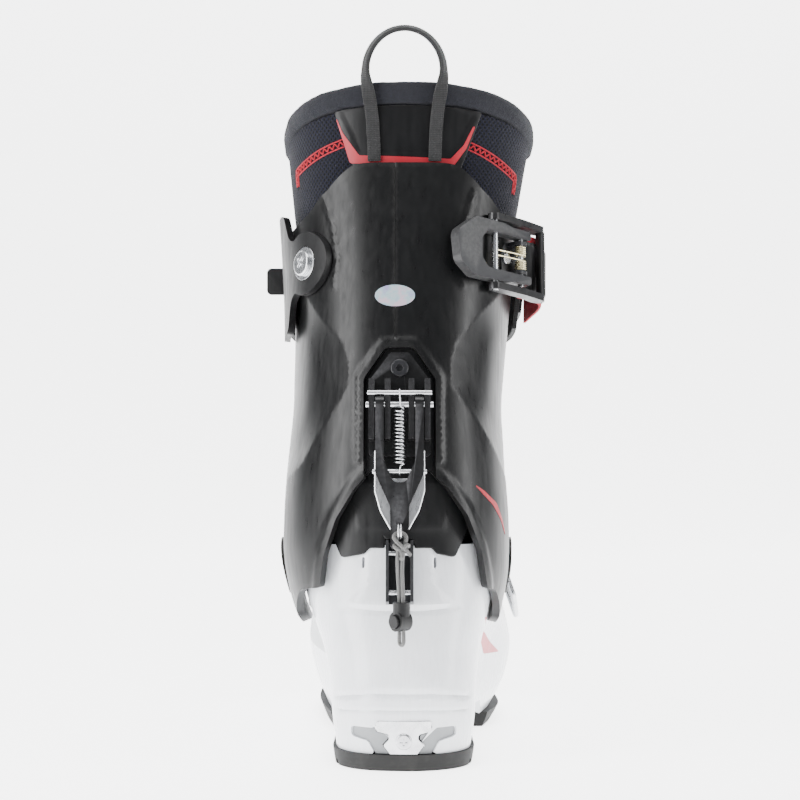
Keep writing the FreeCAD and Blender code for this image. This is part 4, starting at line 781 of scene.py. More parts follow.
def painted_metal(name, colour, roughness, wear_and_highlight=(0.32, 0.33, 0.34)):
    """Coated metal parts: fine powder grain and lighter edges, which are bare metal wear except on the black metal,
    where they are a painted highlight.
    """
    paint = Paint(name, colour, roughness, 0.25)
    paint.colour(paint.edge_wear_and_highlight(colour, wear_and_highlight, 0.52, 0.6))
    paint.roughness(paint.remap(paint.noise(3, 4), 0.3, 0.7, roughness * 0.8, roughness * 1.25))
    paint.bump(paint.noise(0.3, 2), 0.006)
    return paint.material


def rubber(name, colour):
    """Sole rubber: matt, dusty in its hollows, with a coarse grain."""
    paint = Paint(name, colour, 0.72, Specular_IOR_Level=0.35)
    dust = paint.remap(paint.noise(9, 6), 0.5, 0.8, 0, 0.35)
    paint.colour(paint.mix(dust, colour, (0.035, 0.034, 0.032)))
    paint.bump(paint.noise(0.5, 3), 0.05)
    paint.bump(paint.noise(4, 2), 0.06)
    return paint.material


def woven(name, colour, pitch=0.9, rib=0.25, sheen=0.3):
    """Webbing: a plain weave of thick threads, coloured lighter where the weave stands highest."""
    paint = Paint(name, colour, 0.82, Sheen_Weight=sheen)
    over = paint.waves(pitch, "Z")
    under = paint.waves(pitch * 0.8, "X")
    weave = paint.maths("MULTIPLY", over, under)
    lighter = tuple(min(1, c * 2.4 + 0.012) for c in colour)
    paint.colour(paint.mix(paint.remap(weave, 0.2, 1.0, 0, 0.7), colour, lighter))
    paint.bump(weave, rib)
    paint.bump(paint.noise(0.3, 3), 0.06)
    return paint.material


def mesh_fabric():
    """Liner cloth: navy knit with a lattice of small holes and a fine thread relief."""
    navy, hole = (0.004, 0.0045, 0.011), (0.0005, 0.0005, 0.001)
    paint = Paint("liner_mesh", navy, 0.9, Sheen_Weight=0.02, Specular_IOR_Level=0.25)
    spots = paint.cells(2.1, flat=True, turn=45)
    holes = paint.remap(spots, 0.26, 0.36, 1, 0)
    threads = paint.waves(0.42, "X", 30, flat=True)
    tone = paint.mix(threads, (0.0025, 0.003, 0.008), (0.006, 0.007, 0.018))
    paint.colour(paint.mix(holes, tone, hole))
    paint.bump(paint.remap(spots, 0.2, 0.42, 0, 1), 0.45)
    paint.bump(threads, 0.08)
    return paint.material


def fleece():
    """Brushed collar cloth: short tangled pile with a soft sheen."""
    paint = Paint("collar_fleece", (0.003, 0.0035, 0.007), 0.97, Sheen_Weight=0.04, Sheen_Roughness=0.5)
    pile = paint.noise(0.55, 8, rough=0.75)
    tufts = paint.noise(2.6, 5)
    shade = paint.mix(paint.remap(pile, 0.35, 0.7, 0, 1), (0.001, 0.001, 0.003), (0.009, 0.010, 0.018))
    paint.colour(paint.mix(paint.remap(tufts, 0.4, 0.7, 0, 0.6), shade, (0.004, 0.005, 0.009)))
    paint.bump(pile, 0.5)
    paint.bump(tufts, 0.5)
    return paint.material


def foam():
    """Inner lining: brushed knit over foam."""
    paint = Paint("liner_foam", (0.012, 0.013, 0.018), 0.95, Sheen_Weight=0.1)
    knit = paint.maths("MULTIPLY", paint.waves(0.8, "Z"), paint.waves(0.8, "Y"))
    paint.colour(paint.mix(knit, (0.007, 0.008, 0.011), (0.022, 0.024, 0.03)))
    paint.bump(knit, 0.18)
    paint.bump(paint.noise(5, 3), 0.4)
    return paint.material


def braid():
    """Round cord: two sets of strands that wind round each other, flecked grey."""
    paint = Paint("cord_braid", (0.1, 0.1, 0.1), 0.85, Sheen_Weight=0.15)
    one = paint.waves(0.45, "DIAGONAL")
    other = paint.waves(0.45, "DIAGONAL", 90)
    strands = paint.maths("MAXIMUM", one, other)
    flecks = paint.noise(0.7, 3)
    tone = paint.mix(strands, (0.03, 0.03, 0.031), (0.17, 0.17, 0.165))
    paint.colour(paint.mix(paint.remap(flecks, 0.5, 0.62, 0, 0.6), tone, (0.10, 0.10, 0.105)))
    paint.bump(strands, 0.16)
    return paint.material


def insole_cloth():
    paint = Paint("insole", (0.07, 0.08, 0.1), 0.95, Sheen_Weight=0.3)
    dots = paint.cells(3.0)
    paint.colour(paint.mix(paint.remap(dots, 0.2, 0.4, 1, 0), (0.09, 0.1, 0.13), (0.04, 0.045, 0.06)))
    paint.bump(dots, 0.2)
    return paint.material


def label_foil():
    """Blank iridescent sticker."""
    paint = Paint("label_foil", (0.75, 0.72, 0.9), 0.22, 0.6)
    bands = paint.noise(5, 2)
    warm = paint.mix(paint.remap(bands, 0.35, 0.5, 0, 1), (0.55, 0.5, 0.85), (0.6, 0.82, 0.88))
    paint.colour(paint.mix(paint.remap(bands, 0.5, 0.65, 0, 1), warm, (0.9, 0.72, 0.85)))
    paint.bump(paint.noise(0.4, 2), 0.01)
    return paint.material


MATERIALS = {
    "shell_plastic": moulded("shell_plastic", (0.80, 0.82, 0.85), 0.27, 0.5, 0.006, Coat_Weight=0.25),
    "cuff_plastic": moulded("cuff_plastic", (0.0035, 0.0036, 0.0039), 0.33, 0.3, 0.006, (0.012, 0.012, 0.012),
                            Specular_IOR_Level=0.3),
    "dark_plastic": moulded("dark_plastic", (0.0055, 0.0056, 0.006), 0.4, 0.3, 0.012, (0.02, 0.02, 0.02),
                            Specular_IOR_Level=0.3),
    "grey_plastic": moulded("grey_plastic", (0.24, 0.25, 0.26), 0.45, 0.4, 0.02),
    "sole_rubber": rubber("sole_rubber", (0.008, 0.008, 0.008)),
    "gaiter_rubber": rubber("gaiter_rubber", (0.014, 0.014, 0.015)),
    "liner_foam": foam(),
    "liner_mesh": mesh_fabric(),
    "collar_fleece": fleece(),
    "panel_plastic": moulded("panel_plastic", (0.003, 0.003, 0.0035), 0.36, 0.8, 0.012, Specular_IOR_Level=0.3),
    "insole_foam": insole_cloth(),
    "webbing": woven("webbing", (0.006, 0.006, 0.0065), sheen=0.1),
    "strap_plastic": moulded("strap_plastic", (0.004, 0.004, 0.0045), 0.42, 0.5, 0.02, (0.015, 0.015, 0.015),
                             Specular_IOR_Level=0.3),
    "steel": metal("steel", (0.7, 0.71, 0.73), 0.24, (1, 1, 0.05), 0.002),
    "brass_steel": metal("brass_steel", (0.74, 0.66, 0.42), 0.24, (1, 1, 0.05), 0.002),
    "dark_metal": painted_metal("dark_metal", (0.018, 0.0185, 0.021), 0.36, (0.07, 0.07, 0.07)),
    # The black metal's lighter edge colour is a painted highlight on the bracket's edges, not wear.
    "black_metal": painted_metal("black_metal", (0.0045, 0.0045, 0.005), 0.34, (0.09, 0.09, 0.095)),
    "silver_metal": metal("silver_metal", (0.86, 0.87, 0.89), 0.3, (1, 1, 0.04), 0.0004),
    "cord": braid(),
    "red_print": moulded("red_print", (0.36, 0.006, 0.018), 0.45, 0.4, 0.02),
    "faded_print": moulded("faded_print", (0.55, 0.07, 0.09), 0.35, 0.4, 0.006),
    # Flat grey tone of the patch on the inner side of the forefoot.
    "grey_patch": moulded("grey_patch", (0.47, 0.49, 0.5), 0.35, 0.4, 0.006),
    "red_thread": woven("red_thread", (0.30, 0.004, 0.014), 0.5, 0.1, 0.0),
    "pale_print": moulded("pale_print", (0.62, 0.63, 0.64), 0.4, 0.4, 0.02),
    "black_thread": woven("black_thread", (0.06, 0.06, 0.065), 0.5, 0.1),
    "label_foil": label_foil(),
}
SLOTS = {part["node"]: part["material_slot"] for part in frame["record"]["subparts"]}
BODIES = {node: obj["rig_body"] for node, obj in NODES.items()}


def paint(obj, look):
    obj.data.materials.clear()
    obj.data.materials.append(MATERIALS[look])
    return obj


def stand_in(obj, node, look=None, *others):
    """The piece rides with a CAD node's body, replaces the node and takes over its finish."""
    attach(obj, BODIES[node])
    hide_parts(node, *others)
    return paint(obj, look or SLOTS[node])


def extra(obj, body, slot, look=None):
    """A piece with no CAD node of its own."""
    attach(obj, body)
    return paint(obj, look or slot)


for node, obj in NODES.items():
    paint(obj, SLOTS[node])

# ---------------------------------------------------------------- camera and pull cord
LENS = 97.4
camera_data = bpy.data.cameras.new("camera")
camera_data.lens = LENS
camera_data.sensor_width = 36
camera = bpy.data.objects.new("camera", camera_data)
camera.location = Vector((-1.8, -1084.0, 180.4)) * MM
camera.rotation_euler = (math.pi / 2, 0, 0)
bpy.context.scene.collection.objects.link(camera)
bpy.context.scene.camera = camera

MECH_X = -2.0
CORD_RADIUS = 0.95
CORD = [
    (5.2, -46.4, 106.0), (2.6, -49.0, 109.4), (-1.2, -49.2, 112.2), (-3.4, -47.4, 115.4),
    (0.3, -46.2, 117.4), (3.6, -46.4, 115.2), (2.4, -46.8, 110.6), (1.4, -46.8, 104.6),
    (1.2, -46.9, 98.0), (1.5, -47.3, 90.4), (1.8, -47.9, 82.8), (1.8, -48.1, 75.6),
    (1.9, -48.3, 68.6), (2.0, -48.35, 62.9), (-0.2, -45.7, 62.9), (-0.1, -45.75, 68.4),
    (0.1, -45.9, 75.4), (0.0, -46.0, 82.6), (-0.4, -46.3, 90.2), (-0.9, -46.6, 97.8),
    (-1.1, -46.7, 104.4), (-0.7, -46.3, 109.8),
]


def cord_line():
    """The cord's centreline: points of a smooth spline through the route, evenly spaced."""
    curve = bpy.data.curves.new("cord_route", "CURVE")
    curve.dimensions = "3D"
    spline = curve.splines.new("NURBS")
    spline.points.add(len(CORD) - 1)
    for point, (x, y, z) in zip(spline.points, CORD):
        point.co = ((MECH_X + x) * MM, y * MM, z * MM, 1)
    spline.order_u = 3
    spline.use_endpoint_u = True
    spline.resolution_u = 24
    route = bpy.data.objects.new("cord_route", curve)
    mesh = bpy.data.meshes.new_from_object(route)
    line = np.array([vertex.co for vertex in mesh.vertices]) / MM
    bpy.data.objects.remove(route)
    return evenly(line, 0.3)


def braided(line, radius, strands=5, pitch=5.0, depth=0.09, sides=20):
    """Tube whose skin swells where the strands of a round braid lie on top."""
    tube = Shape()
    tube.tube(line, radius, sides)
    run = np.concatenate([[0], np.cumsum(np.linalg.norm(np.diff(line, axis=0), axis=1))])
    points = np.array(tube.points).reshape(len(line), sides, 3)
    angles = 2 * np.pi * np.arange(sides) / sides
    for k, s in enumerate(run):
        turn = 2 * np.pi * s / pitch
        swell = np.maximum(np.cos(strands * angles + strands * turn), np.cos(strands * angles - strands * turn))
        middle = line[k] * MM
        points[k] = middle + (points[k] - middle) * (1 + depth * (swell[:, None] - 0.75))
    tube.points = [tuple(p) for p in points.reshape(-1, 3)]
    return tube


def make_cord():
    line = cord_line()
    cord = braided(line, CORD_RADIUS).piece("pull_cord_braid", 75)
    stand_in(cord, "pull_cord")
    knot = make_knot()


def make_knot():
    """Overhand knot that closes the loop of cord under the ring."""
    turns = np.linspace(0, 2 * np.pi, 150)
    centre = np.array([MECH_X + 0.9, -47.6, 108.6])
    loop = np.column_stack([
        2.0 * (np.sin(turns) + 0.9 * np.sin(2 * turns)), 1.5 * np.sin(3 * turns),
        2.3 * (np.cos(turns) - 0.85 * np.cos(2 * turns)),
    ])
    knot = braided(centre + loop, CORD_RADIUS).piece("pull_cord_knot", 75)
    return extra(knot, BODIES["pull_cord"], "cord")


make_cord()

# ---------------------------------------------------------------- lower shell and heel
TOE_BEND_START = 165.0
TOE_BEND_RADIUS = 480.0
SOLE_TOP = 8.1
TOE_PIN_Y, TOE_PIN_Z, TOE_PIN_HOLE = 236.0, 18.5, 5.6
SHELL_TOP = rounded([(-70, 109, 0), (-4, 109, 12), (30, 128, 20), (70, 132, 20), (200, 132, 0),
                     (200, 220, 0), (-70, 220, 0)])
THROAT = rounded([(-9, 178, 8), (9, 178, 8), (19, 130, 20), (22, 90, 0), (-26, 90, 0), (-23, 130, 20)])
SOLE_ARCH = rounded([(50, -5, 0), (60, 17, 8), (100, 17, 8), (112, -5, 0)])
HEEL_PLATE = rounded([(-13.6, 24.4, 1), (13.6, 24.4, 1), (13.2, 19.4, 1), (7.2, 18, 2.2), (7.0, 15.6, 2),
                      (10, 12.6, 1), (6.6, 7, 0.5), (-6.6, 7, 0.5), (-10, 12.6, 1), (-7.0, 15.6, 2),
                      (-7.2, 18, 2.2), (-13.2, 19.4, 1)], 0.5)
HEEL_CHANNEL = rounded([(26, 21.3, 1), (14.0, 21.0, 0), (13.4, 18.9, 1), (8.0, 17.6, 1.5), (7.8, 15.7, 1),
                        (10.5, 12.6, 0.5), (7.2, 7, 0), (13.6, 7, 0), (17.4, 14.4, 1),
                        (25.6, 16.2, 1)], 0.5)
GUARD = rounded([(-35, 124, 6), (-35.8, 114, 3), (-31, 102.8, 1.5), (-19.5, 105, 1), (-17, 107.8, 0.8),
                 (14, 107.8, 0.8), (16.3, 105, 1), (25.5, 103, 1.5), (31.8, 116, 3), (31, 124, 6),
                 (24, 137, 6), (15, 149, 6), (-19, 149, 6), (-28, 137, 6)])
SPINE = [(-18.0, 112), (13.5, 112), (13.0, 90), (20.5, 80.5), (-24.5, 80.5), (-17.5, 90)]
NOTCHES = [rounded([(x - 0.7, z - 3.2, 0.7), (x + 0.7, z - 3.2, 0.7), (x + 0.7, z + 3.2, 0.7),
                    (x - 0.7, z + 3.2, 0.7)], 0.3) for x, z in ((-19.8, 100.4), (15.4, 100.4))]


def sole_line(y, lift):
    """Height of a layer of the sole that is lift above the ground where the sole is flat."""
    past = np.clip(y - TOE_BEND_START, 0, None)
    return TOE_BEND_RADIUS - np.sqrt((TOE_BEND_RADIUS - lift) ** 2 - past**2)


def at_heel(outline, x, y, z):
    """Distance to an outline in the rear view, for the back of the boot only."""
    return np.where(y < 10, clearance(outline, x, z), 50)


def keep_shell(x, y, z):
    toe_pins = np.where(y > 215, np.hypot(y - TOE_PIN_Y, z - TOE_PIN_Z) - TOE_PIN_HOLE, 50)
    mirrored = np.where(x < 0, -x, x)
    return np.minimum.reduce([
        clearance(SHELL_TOP, y, z), np.where(z > 76, clearance(THROAT, x, y), 50),
        z - sole_line(y, SOLE_TOP), np.where(z < 40, clearance(SOLE_ARCH, y, z), 50), toe_pins,
        at_heel(HEEL_PLATE, x, y, z), at_heel(HEEL_CHANNEL, mirrored, y, z),
        at_heel(NOTCHES[0], x, y, z), at_heel(NOTCHES[1], x, y, z),
    ])


shell_surface = Surface(SHELL, 0.0, 8, 150)


def make_shell():
    relief = Relief(shell_surface)
    relief.step(SPINE, 3.5, 1.1)
    relief.groove([(-30, 78.6), (-12, 77.4), (8, 77.4), (27, 78.8)], 2.2, 0.7)
    relief.groove([(-33, 34.5), (-16, 37.5), (14, 37.5), (32, 34.8)], 1.8, 0.9)
    relief.groove([(-33, 28.0), (-14, 29.6), (12, 29.6), (32, 28.2)], 1.2, 0.5)
    shell = skin("shell_panel", shell_surface, keep_shell, 2.6, relief, closed=True, tall=0.7)
    thicken(shell, 4.0, 0.7)
    stand_in(shell, "lower_shell")


def make_guard():
    outer = Surface(SHELL, -2.2, 96, 150)
    slot = [(-9.3, 112.2), (5.3, 112.2), (5.3, 70), (-9.3, 70)]

    def keep(x, y, z):
        inside = np.where(y < 20, -clearance(GUARD, x, z), -50)
        return np.minimum(inside, clearance(np.array(slot, float), x, z))

    relief = Relief(outer)
    relief.step([(-27, 140), (-22, 118), (19, 118), (24, 140)], 5, 0.5)
    guard = skin("heel_guard_panel", outer, keep, 1.5, relief)
    stand_in(thicken(guard, 1.8, 0.5), "heel_guard")


def make_soles():
    for node in ("sole_heel_rubber", "sole_forefoot_rubber"):
        stand_in(refined(node, 0.6), node)
    for node in ("heel_pin_plate", "heel_plate_screw", "walk_catch", "catch_pins", "toe_pin_inserts"):
        stand_in(refined(node, 0.25), node)
    stand_in(refined("heel_channel_inserts", 0.2), "heel_channel_inserts")


def make_shell_flash_and_grey_patch():
    """Faded red flash low on the outer side and a grey field on the inner side of the forefoot."""
    outer = Surface(SHELL, -0.12, 30, 90)
    flash = rounded([(-2, 72, 0), (20, 69.5, 20), (60, 62, 30), (86, 54.5, 20), (100, 48, 10), (120, 40.5, 0),
                     (92, 42.5, 4), (84, 49, 10), (58, 55.5, 30), (20, 64.5, 20)])
    red = skin("shell_flash_red", outer, lambda x, y, z: np.where(x > 0, -clearance(flash, y, z), -9), 1.6)
    extra(thicken(red, 0.2, 0.0), "shell", "shell_plastic", "faded_print")
    field = rounded([(70, 78, 0), (80, 60, 20), (88, 47, 10), (104, 40.5, 6), (150, 41.5, 30), (196, 47, 8),
                     (192, 60, 10), (150, 72, 30), (110, 80, 20)])
    grey = skin("shell_field_grey", outer, lambda x, y, z: np.where(x < 0, -clearance(field, y, z), -9), 2.4)
    extra(thicken(grey, 0.2, 0.0), "shell", "shell_plastic", "grey_patch")


make_shell()
make_shell_flash_and_grey_patch()
make_guard()
make_soles()

# ---------------------------------------------------------------- cuff
PIVOT_Y, PIVOT_Z = 66.0, 93.0
CAP_RADIUS = 15.4
CUFF_TOP = rounded([(-60, 300, 0), (7.5, 300, 2.5), (11, 287, 5), (17, 275.5, 7), (26, 269.5, 10),
                    (46, 263, 16), (70, 258, 20), (160, 248, 0), (220, 248, 0), (220, 330, 0),
                    (-60, 330, 0)])
CUFF_BOTTOM = rounded([(-70, 50, 0), (200, 50, 0), (200, 160, 0), (122, 160, 10), (106, 140, 12),
                       (94, 112, 12), (84, 84, 16), (52, 66, 20), (22, 66, 16), (-4, 86, 8), (-70, 96, 0)])
REAR_ARCH = rounded([(-60, 60, 0), (-46, 66, 4), (-41.5, 84, 8), (-39, 104, 12), (-33, 122, 12),
                     (-24, 137, 12), (-15, 147, 6), (11, 147, 6), (21, 138, 12), (31, 124, 12),
                     (38, 106, 12), (41.5, 84, 8), (44.5, 66, 4), (60, 60, 0), (60, 20, 0), (-60, 20, 0)])
FRONT_GAP = rounded([(-20, 132, 0), (17, 132, 0), (19, 190, 20), (30, 262, 10), (44, 340, 0),
                     (-48, 340, 0), (-34, 262, 10), (-22, 190, 20)])
BRACKET_Z = 177.0
BRACKET_LEAN = math.radians(8.7)
POCKET = rounded([(MECH_X + u, BRACKET_Z + v * math.cos(BRACKET_LEAN), r) for u, v, r in
                  [(-17.5, -34, 0), (-17.5, 14, 3), (-7, 29.5, 3), (7, 29.5, 3), (17.5, 14, 3),
                   (17.5, -34, 0)]], 0.6)
WAIST = [(-62, 300), (-60, 243), (-51, 236), (-30, 209), (-27, 200), (-27, 187), (-51, 148), (-60, 140),
         (-60, 60), (60, 60), (60, 140), (49, 148), (23.5, 187), (23.5, 200), (26, 209), (38, 224),
         (60, 243), (62, 300)]
SEAM_X = -4.3

cuff_surface = Surface(CUFF, 0.0, 62, 304)


def keep_cuff(x, y, z):
    arch = np.where(y < 22, clearance(REAR_ARCH, x, z), 50)
    gap = np.where(y > 70, clearance(FRONT_GAP, x, z), 50)
    pocket = np.where(y < 22, clearance(POCKET, x, z), 50)
    pivot = np.hypot(y - PIVOT_Y, z - PIVOT_Z) - CAP_RADIUS
    return np.minimum.reduce([clearance(CUFF_TOP, y, z), clearance(CUFF_BOTTOM, y, z), arch, gap, pocket, pivot])


def make_cuff():
    relief = Relief(cuff_surface)
    relief.step(WAIST, 17, 2.0)
    relief.step([(-22.5, 150), (-22.5, 192), (-10, 210), (6, 210), (18.5, 192), (18.5, 150)], 2.6, 0.9)
    relief.groove([(SEAM_X, 300), (SEAM_X, 212)], 0.5, 0.45)
    relief.groove([(-42, 286), (-36, 270), (-33, 250), (-35, 238)], 2.5, -0.5)
    relief.groove([(36, 286), (31, 270), (28, 250), (30, 238)], 2.5, -0.5)
    rim = relief.flat(REAR_ARCH)

    def settle(points, flat):
        """The waist's plateau is the surface itself, and the arch has a raised rim."""
        edge = clearance(rim, flat[:, 0], flat[:, 1])
        return -2.0 + 0.9 * (1 - soft((edge - 3.5) / 2.5))

    cuff = skin("cuff_panel", cuff_surface, keep_cuff, 2.0, relief, lift=settle)
    stand_in(thicken(cuff, 4.0, 0.7), "cuff")


def make_pocket_floor():
    """Flat-bottomed recess that the walk bracket is screwed into."""
    floor_surface = Surface(CUFF, 2.3, 140, 215)

    def keep(x, y, z):
        inside = np.where(y < 22, 0.6 - clearance(POCKET, x, z), -50)
        return np.minimum(inside, clearance(REAR_ARCH, x, z))

    floor = skin("cuff_pocket_floor", floor_surface, keep, 2.0)
    extra(thicken(floor, 1.7, 0.0), "cuff", "cuff_plastic")


def make_cuff_prints():
    outer = Surface(CUFF, -0.12, 100, 150)
    flash = rounded([(34.3, 139.5, 0), (40, 135.5, 6), (46.5, 129, 6), (49.6, 121, 6), (51.4, 112, 0),
                     (48.6, 121, 6), (44.8, 128, 6)], 0.8)
    red = skin("cuff_flash_red", outer, lambda x, y, z: np.where((x > 0) & (y < 40), -clearance(flash, x, z), -9), 1.0)
    extra(thicken(red, 0.2, 0.0), "cuff", "cuff_plastic", "red_print")
    label_surface = Surface(CUFF, -0.1, 220, 245)
    turn = np.linspace(0, 2 * np.pi, 60, endpoint=False)
    oval = np.column_stack([SEAM_X + 10.0 * np.cos(turn), 232.2 + 5.4 * np.sin(turn)])
    label = skin("cuff_blank_label", label_surface, lambda x, y, z: np.where(y < 20, -clearance(oval, x, z), -9), 1.0)
    extra(thicken(label, 0.15, 0.0), "cuff", "cuff_plastic", "label_foil")


def make_pivot_caps():
    stand_in(refined("pivot_caps", 0.35), "pivot_caps")
    rings = Shape()
    for side in (1, -1):
        around = surface_ring(cuff_surface, side, PIVOT_Y, PIVOT_Z, 6.2, 1.65)
        rings.tube(around, 0.4, 8, circular=True)
    extra(rings.piece("pivot_cap_rings"), BODIES["pivot_caps"], "cuff_plastic", "dark_metal")


def surface_ring(surface, side, y, z, radius, lift, count=48):
    """Circle on a surface's side, as seen from the side."""
    angles = 2 * np.pi * np.arange(count) / count
    ys, zs = y + radius * np.cos(angles), z + radius * np.sin(angles)
    flat = np.column_stack([surface.round_beside(side, ys, zs) * WIDE, zs])
    return on_surface(surface, flat, lift)[0]


make_cuff()
make_pocket_floor()
make_cuff_prints()
make_pivot_caps()

# ---------------------------------------------------------------- walk mechanism
def rear_frame(table, x, height, lean):
    """Matrix whose u, v, w run to +X, up the leaning back and out of it."""
    tilt = math.radians(lean)
    origin = Vector((x, level_at(table, height)[1], height))
    up = Vector((0, math.sin(tilt), math.cos(tilt)))
    out = Vector((0, -math.cos(tilt), math.sin(tilt)))
    turn = Matrix((Vector((1, 0, 0)), up, out)).transposed()
    return Matrix.Translation(origin) @ turn.to_4x4()


MECH = rear_frame(CUFF, MECH_X, BRACKET_Z, 8.7)
UPPER_PIN = (5.6, 9.8)        # v and w of the pins that hold the spring
LOWER_PIN = (-33.0, 9.8)
SPRING_RADIUS, SPRING_WIRE = 2.35, 0.42
SPRING_SPAN = (-29.4, -2.6)
SPRING_TURNS = 15


def placed(matrix, points):
    return [tuple(matrix @ Vector(p)) for p in points]


def make_spring():
    """Tension spring with a straight hook at each end round its pin."""
    low, high = SPRING_SPAN
    turns = np.linspace(0, SPRING_TURNS * 2 * np.pi, SPRING_TURNS * 20 + 1)
    coil = np.column_stack([SPRING_RADIUS * np.cos(turns), low + (high - low) * turns / turns[-1],
                            UPPER_PIN[1] + SPRING_RADIUS * np.sin(turns)])

    def hook(start_v, pin, way):
        arc = np.radians(np.linspace(0, 200, 9))
        bend = 1.75
        loop = [(0.0, pin[0] + bend * way * math.sin(a), pin[1] + bend * math.cos(a)) for a in arc]
        return [(1.6, start_v + way * 0.5, UPPER_PIN[1] + 1.2), (0.4, start_v + way * 1.0, UPPER_PIN[1] + 1.8)] + loop

    line = hook(low, LOWER_PIN, -1)[::-1] + [tuple(p) for p in coil] + hook(high, UPPER_PIN, 1)
    spring = Shape()
    spring.tube(placed(MECH, line), SPRING_WIRE, 8)
    obj = spring.piece("walk_spring_coil", 60)
    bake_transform(obj)
    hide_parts("walk_spring")
    paint(obj, SLOTS["walk_spring"])


def make_rings():
    """Split ring: two turns of flat-ended wire, a little apart."""
    centre = (-62.5, 7.4 + 4.7 + 0.7)
    rings = Shape()
    angles = 2 * np.pi * np.arange(56) / 56
    for offset in (-0.6, 0.6):
        loop = [(offset, centre[0] + 3.8 * math.cos(a), centre[1] + 3.8 * math.sin(a)) for a in angles]
        rings.tube(placed(MECH, loop), 0.45, 10, circular=True)
    stand_in(rings.piece("cord_split_ring"), "cord_rings")


def make_mechanism():
    widths = {"walk_bracket": 0.35, "bracket_screw": 0.2, "lever_axle": 0.3, "upper_spring_pin": 0.25,
              "lower_spring_pin": 0.25, "walk_lever": 0.4, "walk_lever_core": 0.7,
              "cord_lock_body": 0.45, "cord_lock_button": 0.4}
    for node, width in widths.items():
        # The walk bracket takes the black metal, whose lightened edges are a painted highlight.
        look = "black_metal" if node == "walk_bracket" else "dark_plastic" if "cord_lock" in node else None
        stand_in(refined(node, width, 3), node, look)


make_mechanism()
make_spring()
make_rings()

# ---------------------------------------------------------------- liner
RIM_REAR, RIM_SLOPE, COLLAR_DEPTH = 345.0, 0.32, 13.0
SHAFT_BASE, SHAFT_WALL, TONGUE_DEPTH = 172.0, 9.0, 6.5
TONGUE_GAP = rounded([(-26, 160, 0), (22, 160, 0), (26, 240, 20), (36, 380, 0), (-40, 380, 0),
                      (-30, 240, 20)])
TONGUE = rounded([(-44, 172, 6), (40, 172, 6), (44, 300, 20), (38, 346, 16), (-42, 346, 16), (-48, 300, 20)])
PANEL = rounded([(-37, 331, 2), (-27, 302, 6), (-22, 290, 2), (26, 290, 2), (31, 302, 6), (41, 329, 2)])

liner_surface = Surface(LINER, 0.0, 170, 348)


def rim_height(y):
    return RIM_REAR - RIM_SLOPE * y


def make_shaft():
    def keep(x, y, z):
        gap = np.where(y > 70, clearance(TONGUE_GAP, x, z), 50)
        return np.minimum.reduce([gap, z - SHAFT_BASE, rim_height(y) - COLLAR_DEPTH - 0.2 - z])

    relief = Relief(liner_surface)
    for route in STITCH_ARCS:
        relief.groove(rounded_line(route), 2.4, 0.45)
    shaft = skin("liner_shaft_mesh", liner_surface, keep, 3.0, relief)
    thicken(shaft, SHAFT_WALL, 1.6, 4)
    stand_in(shaft, "liner_shaft", "liner_mesh")


def make_collar():
    """Padded roll round the rim, open at the tongue."""
    reach = 0.80
    rounds = np.linspace(-reach, reach, 260)
    deep, thick = COLLAR_DEPTH / 2, 6.1
    angles = 2 * np.pi * np.arange(28) / 28
    rings = []
    for i, around in enumerate(rounds):
        height = RIM_REAR
        for _ in range(6):
            y = liner_surface.at(around, min(height, 347.9))[1]
            height = rim_height(y) - deep
        base = liner_surface.at(around, height)
        out = liner_surface.normal(around, height).copy()
        out[2] = 0
        out /= np.linalg.norm(out)
        end = min(i, len(rounds) - 1 - i)
        size = math.sqrt(max(0.02, 1 - (1 - min(end, 5) / 5) ** 2))
        ring = []
        for a in angles:
            c, s = math.cos(a), math.sin(a)
            c, s = (math.copysign(abs(value) ** 0.75, value) for value in (c, s))
            ring.append(base + out * (2.2 - thick + thick * c * size) + np.array([0, 0, deep * s * size]))
        rings.append(ring)
    collar = Shape()
    collar.rings(rings)
    obj = collar.piece("liner_collar_roll", 80)
    crumple = obj.data
    for vertex in crumple.vertices:
        wave = noise.noise(vertex.co * 90) * 0.45 + noise.noise(vertex.co * 420) * 0.22
        vertex.co += vertex.normal * (wave - 0.35) * MM
    stand_in(obj, "liner_collar")


def make_tongue():
    inner = Surface(LINER, SHAFT_WALL + 0.6, 172, 347)

    def keep(x, y, z):
        return np.where(y > 55, -clearance(TONGUE, x, z), -50)

    relief = Relief(inner)
    tongue = skin("liner_tongue_pad", inner, keep, 3.0, relief, closed=True)
    thicken(tongue, TONGUE_DEPTH, 2.2, 4)
    stand_in(tongue, "liner_tongue", "liner_mesh")


def make_throat():
    """Pad that closes the front between the foot's liner and the tongue."""
    front = Surface(CUFF, 13.6, 128, 184)

    def keep(x, y, z):
        return np.where(y > 60, 36 - np.abs(x + 1.5), -50)

    relief = Relief(front)
    pad = skin("liner_throat_pad", front, keep, 3.0, relief, closed=True)
    thicken(pad, 4.5, 1.6, 4)
    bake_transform(pad)
    paint(pad, "liner_mesh")


STITCH_ARCS = [
    [(-30.5, 311), (-41, 307.5), (-50, 302.5), (-57.5, 296.5), (-61.5, 291)],
    [(29.5, 311), (40, 307), (50, 301.5), (60, 294), (64.5, 287)],
]


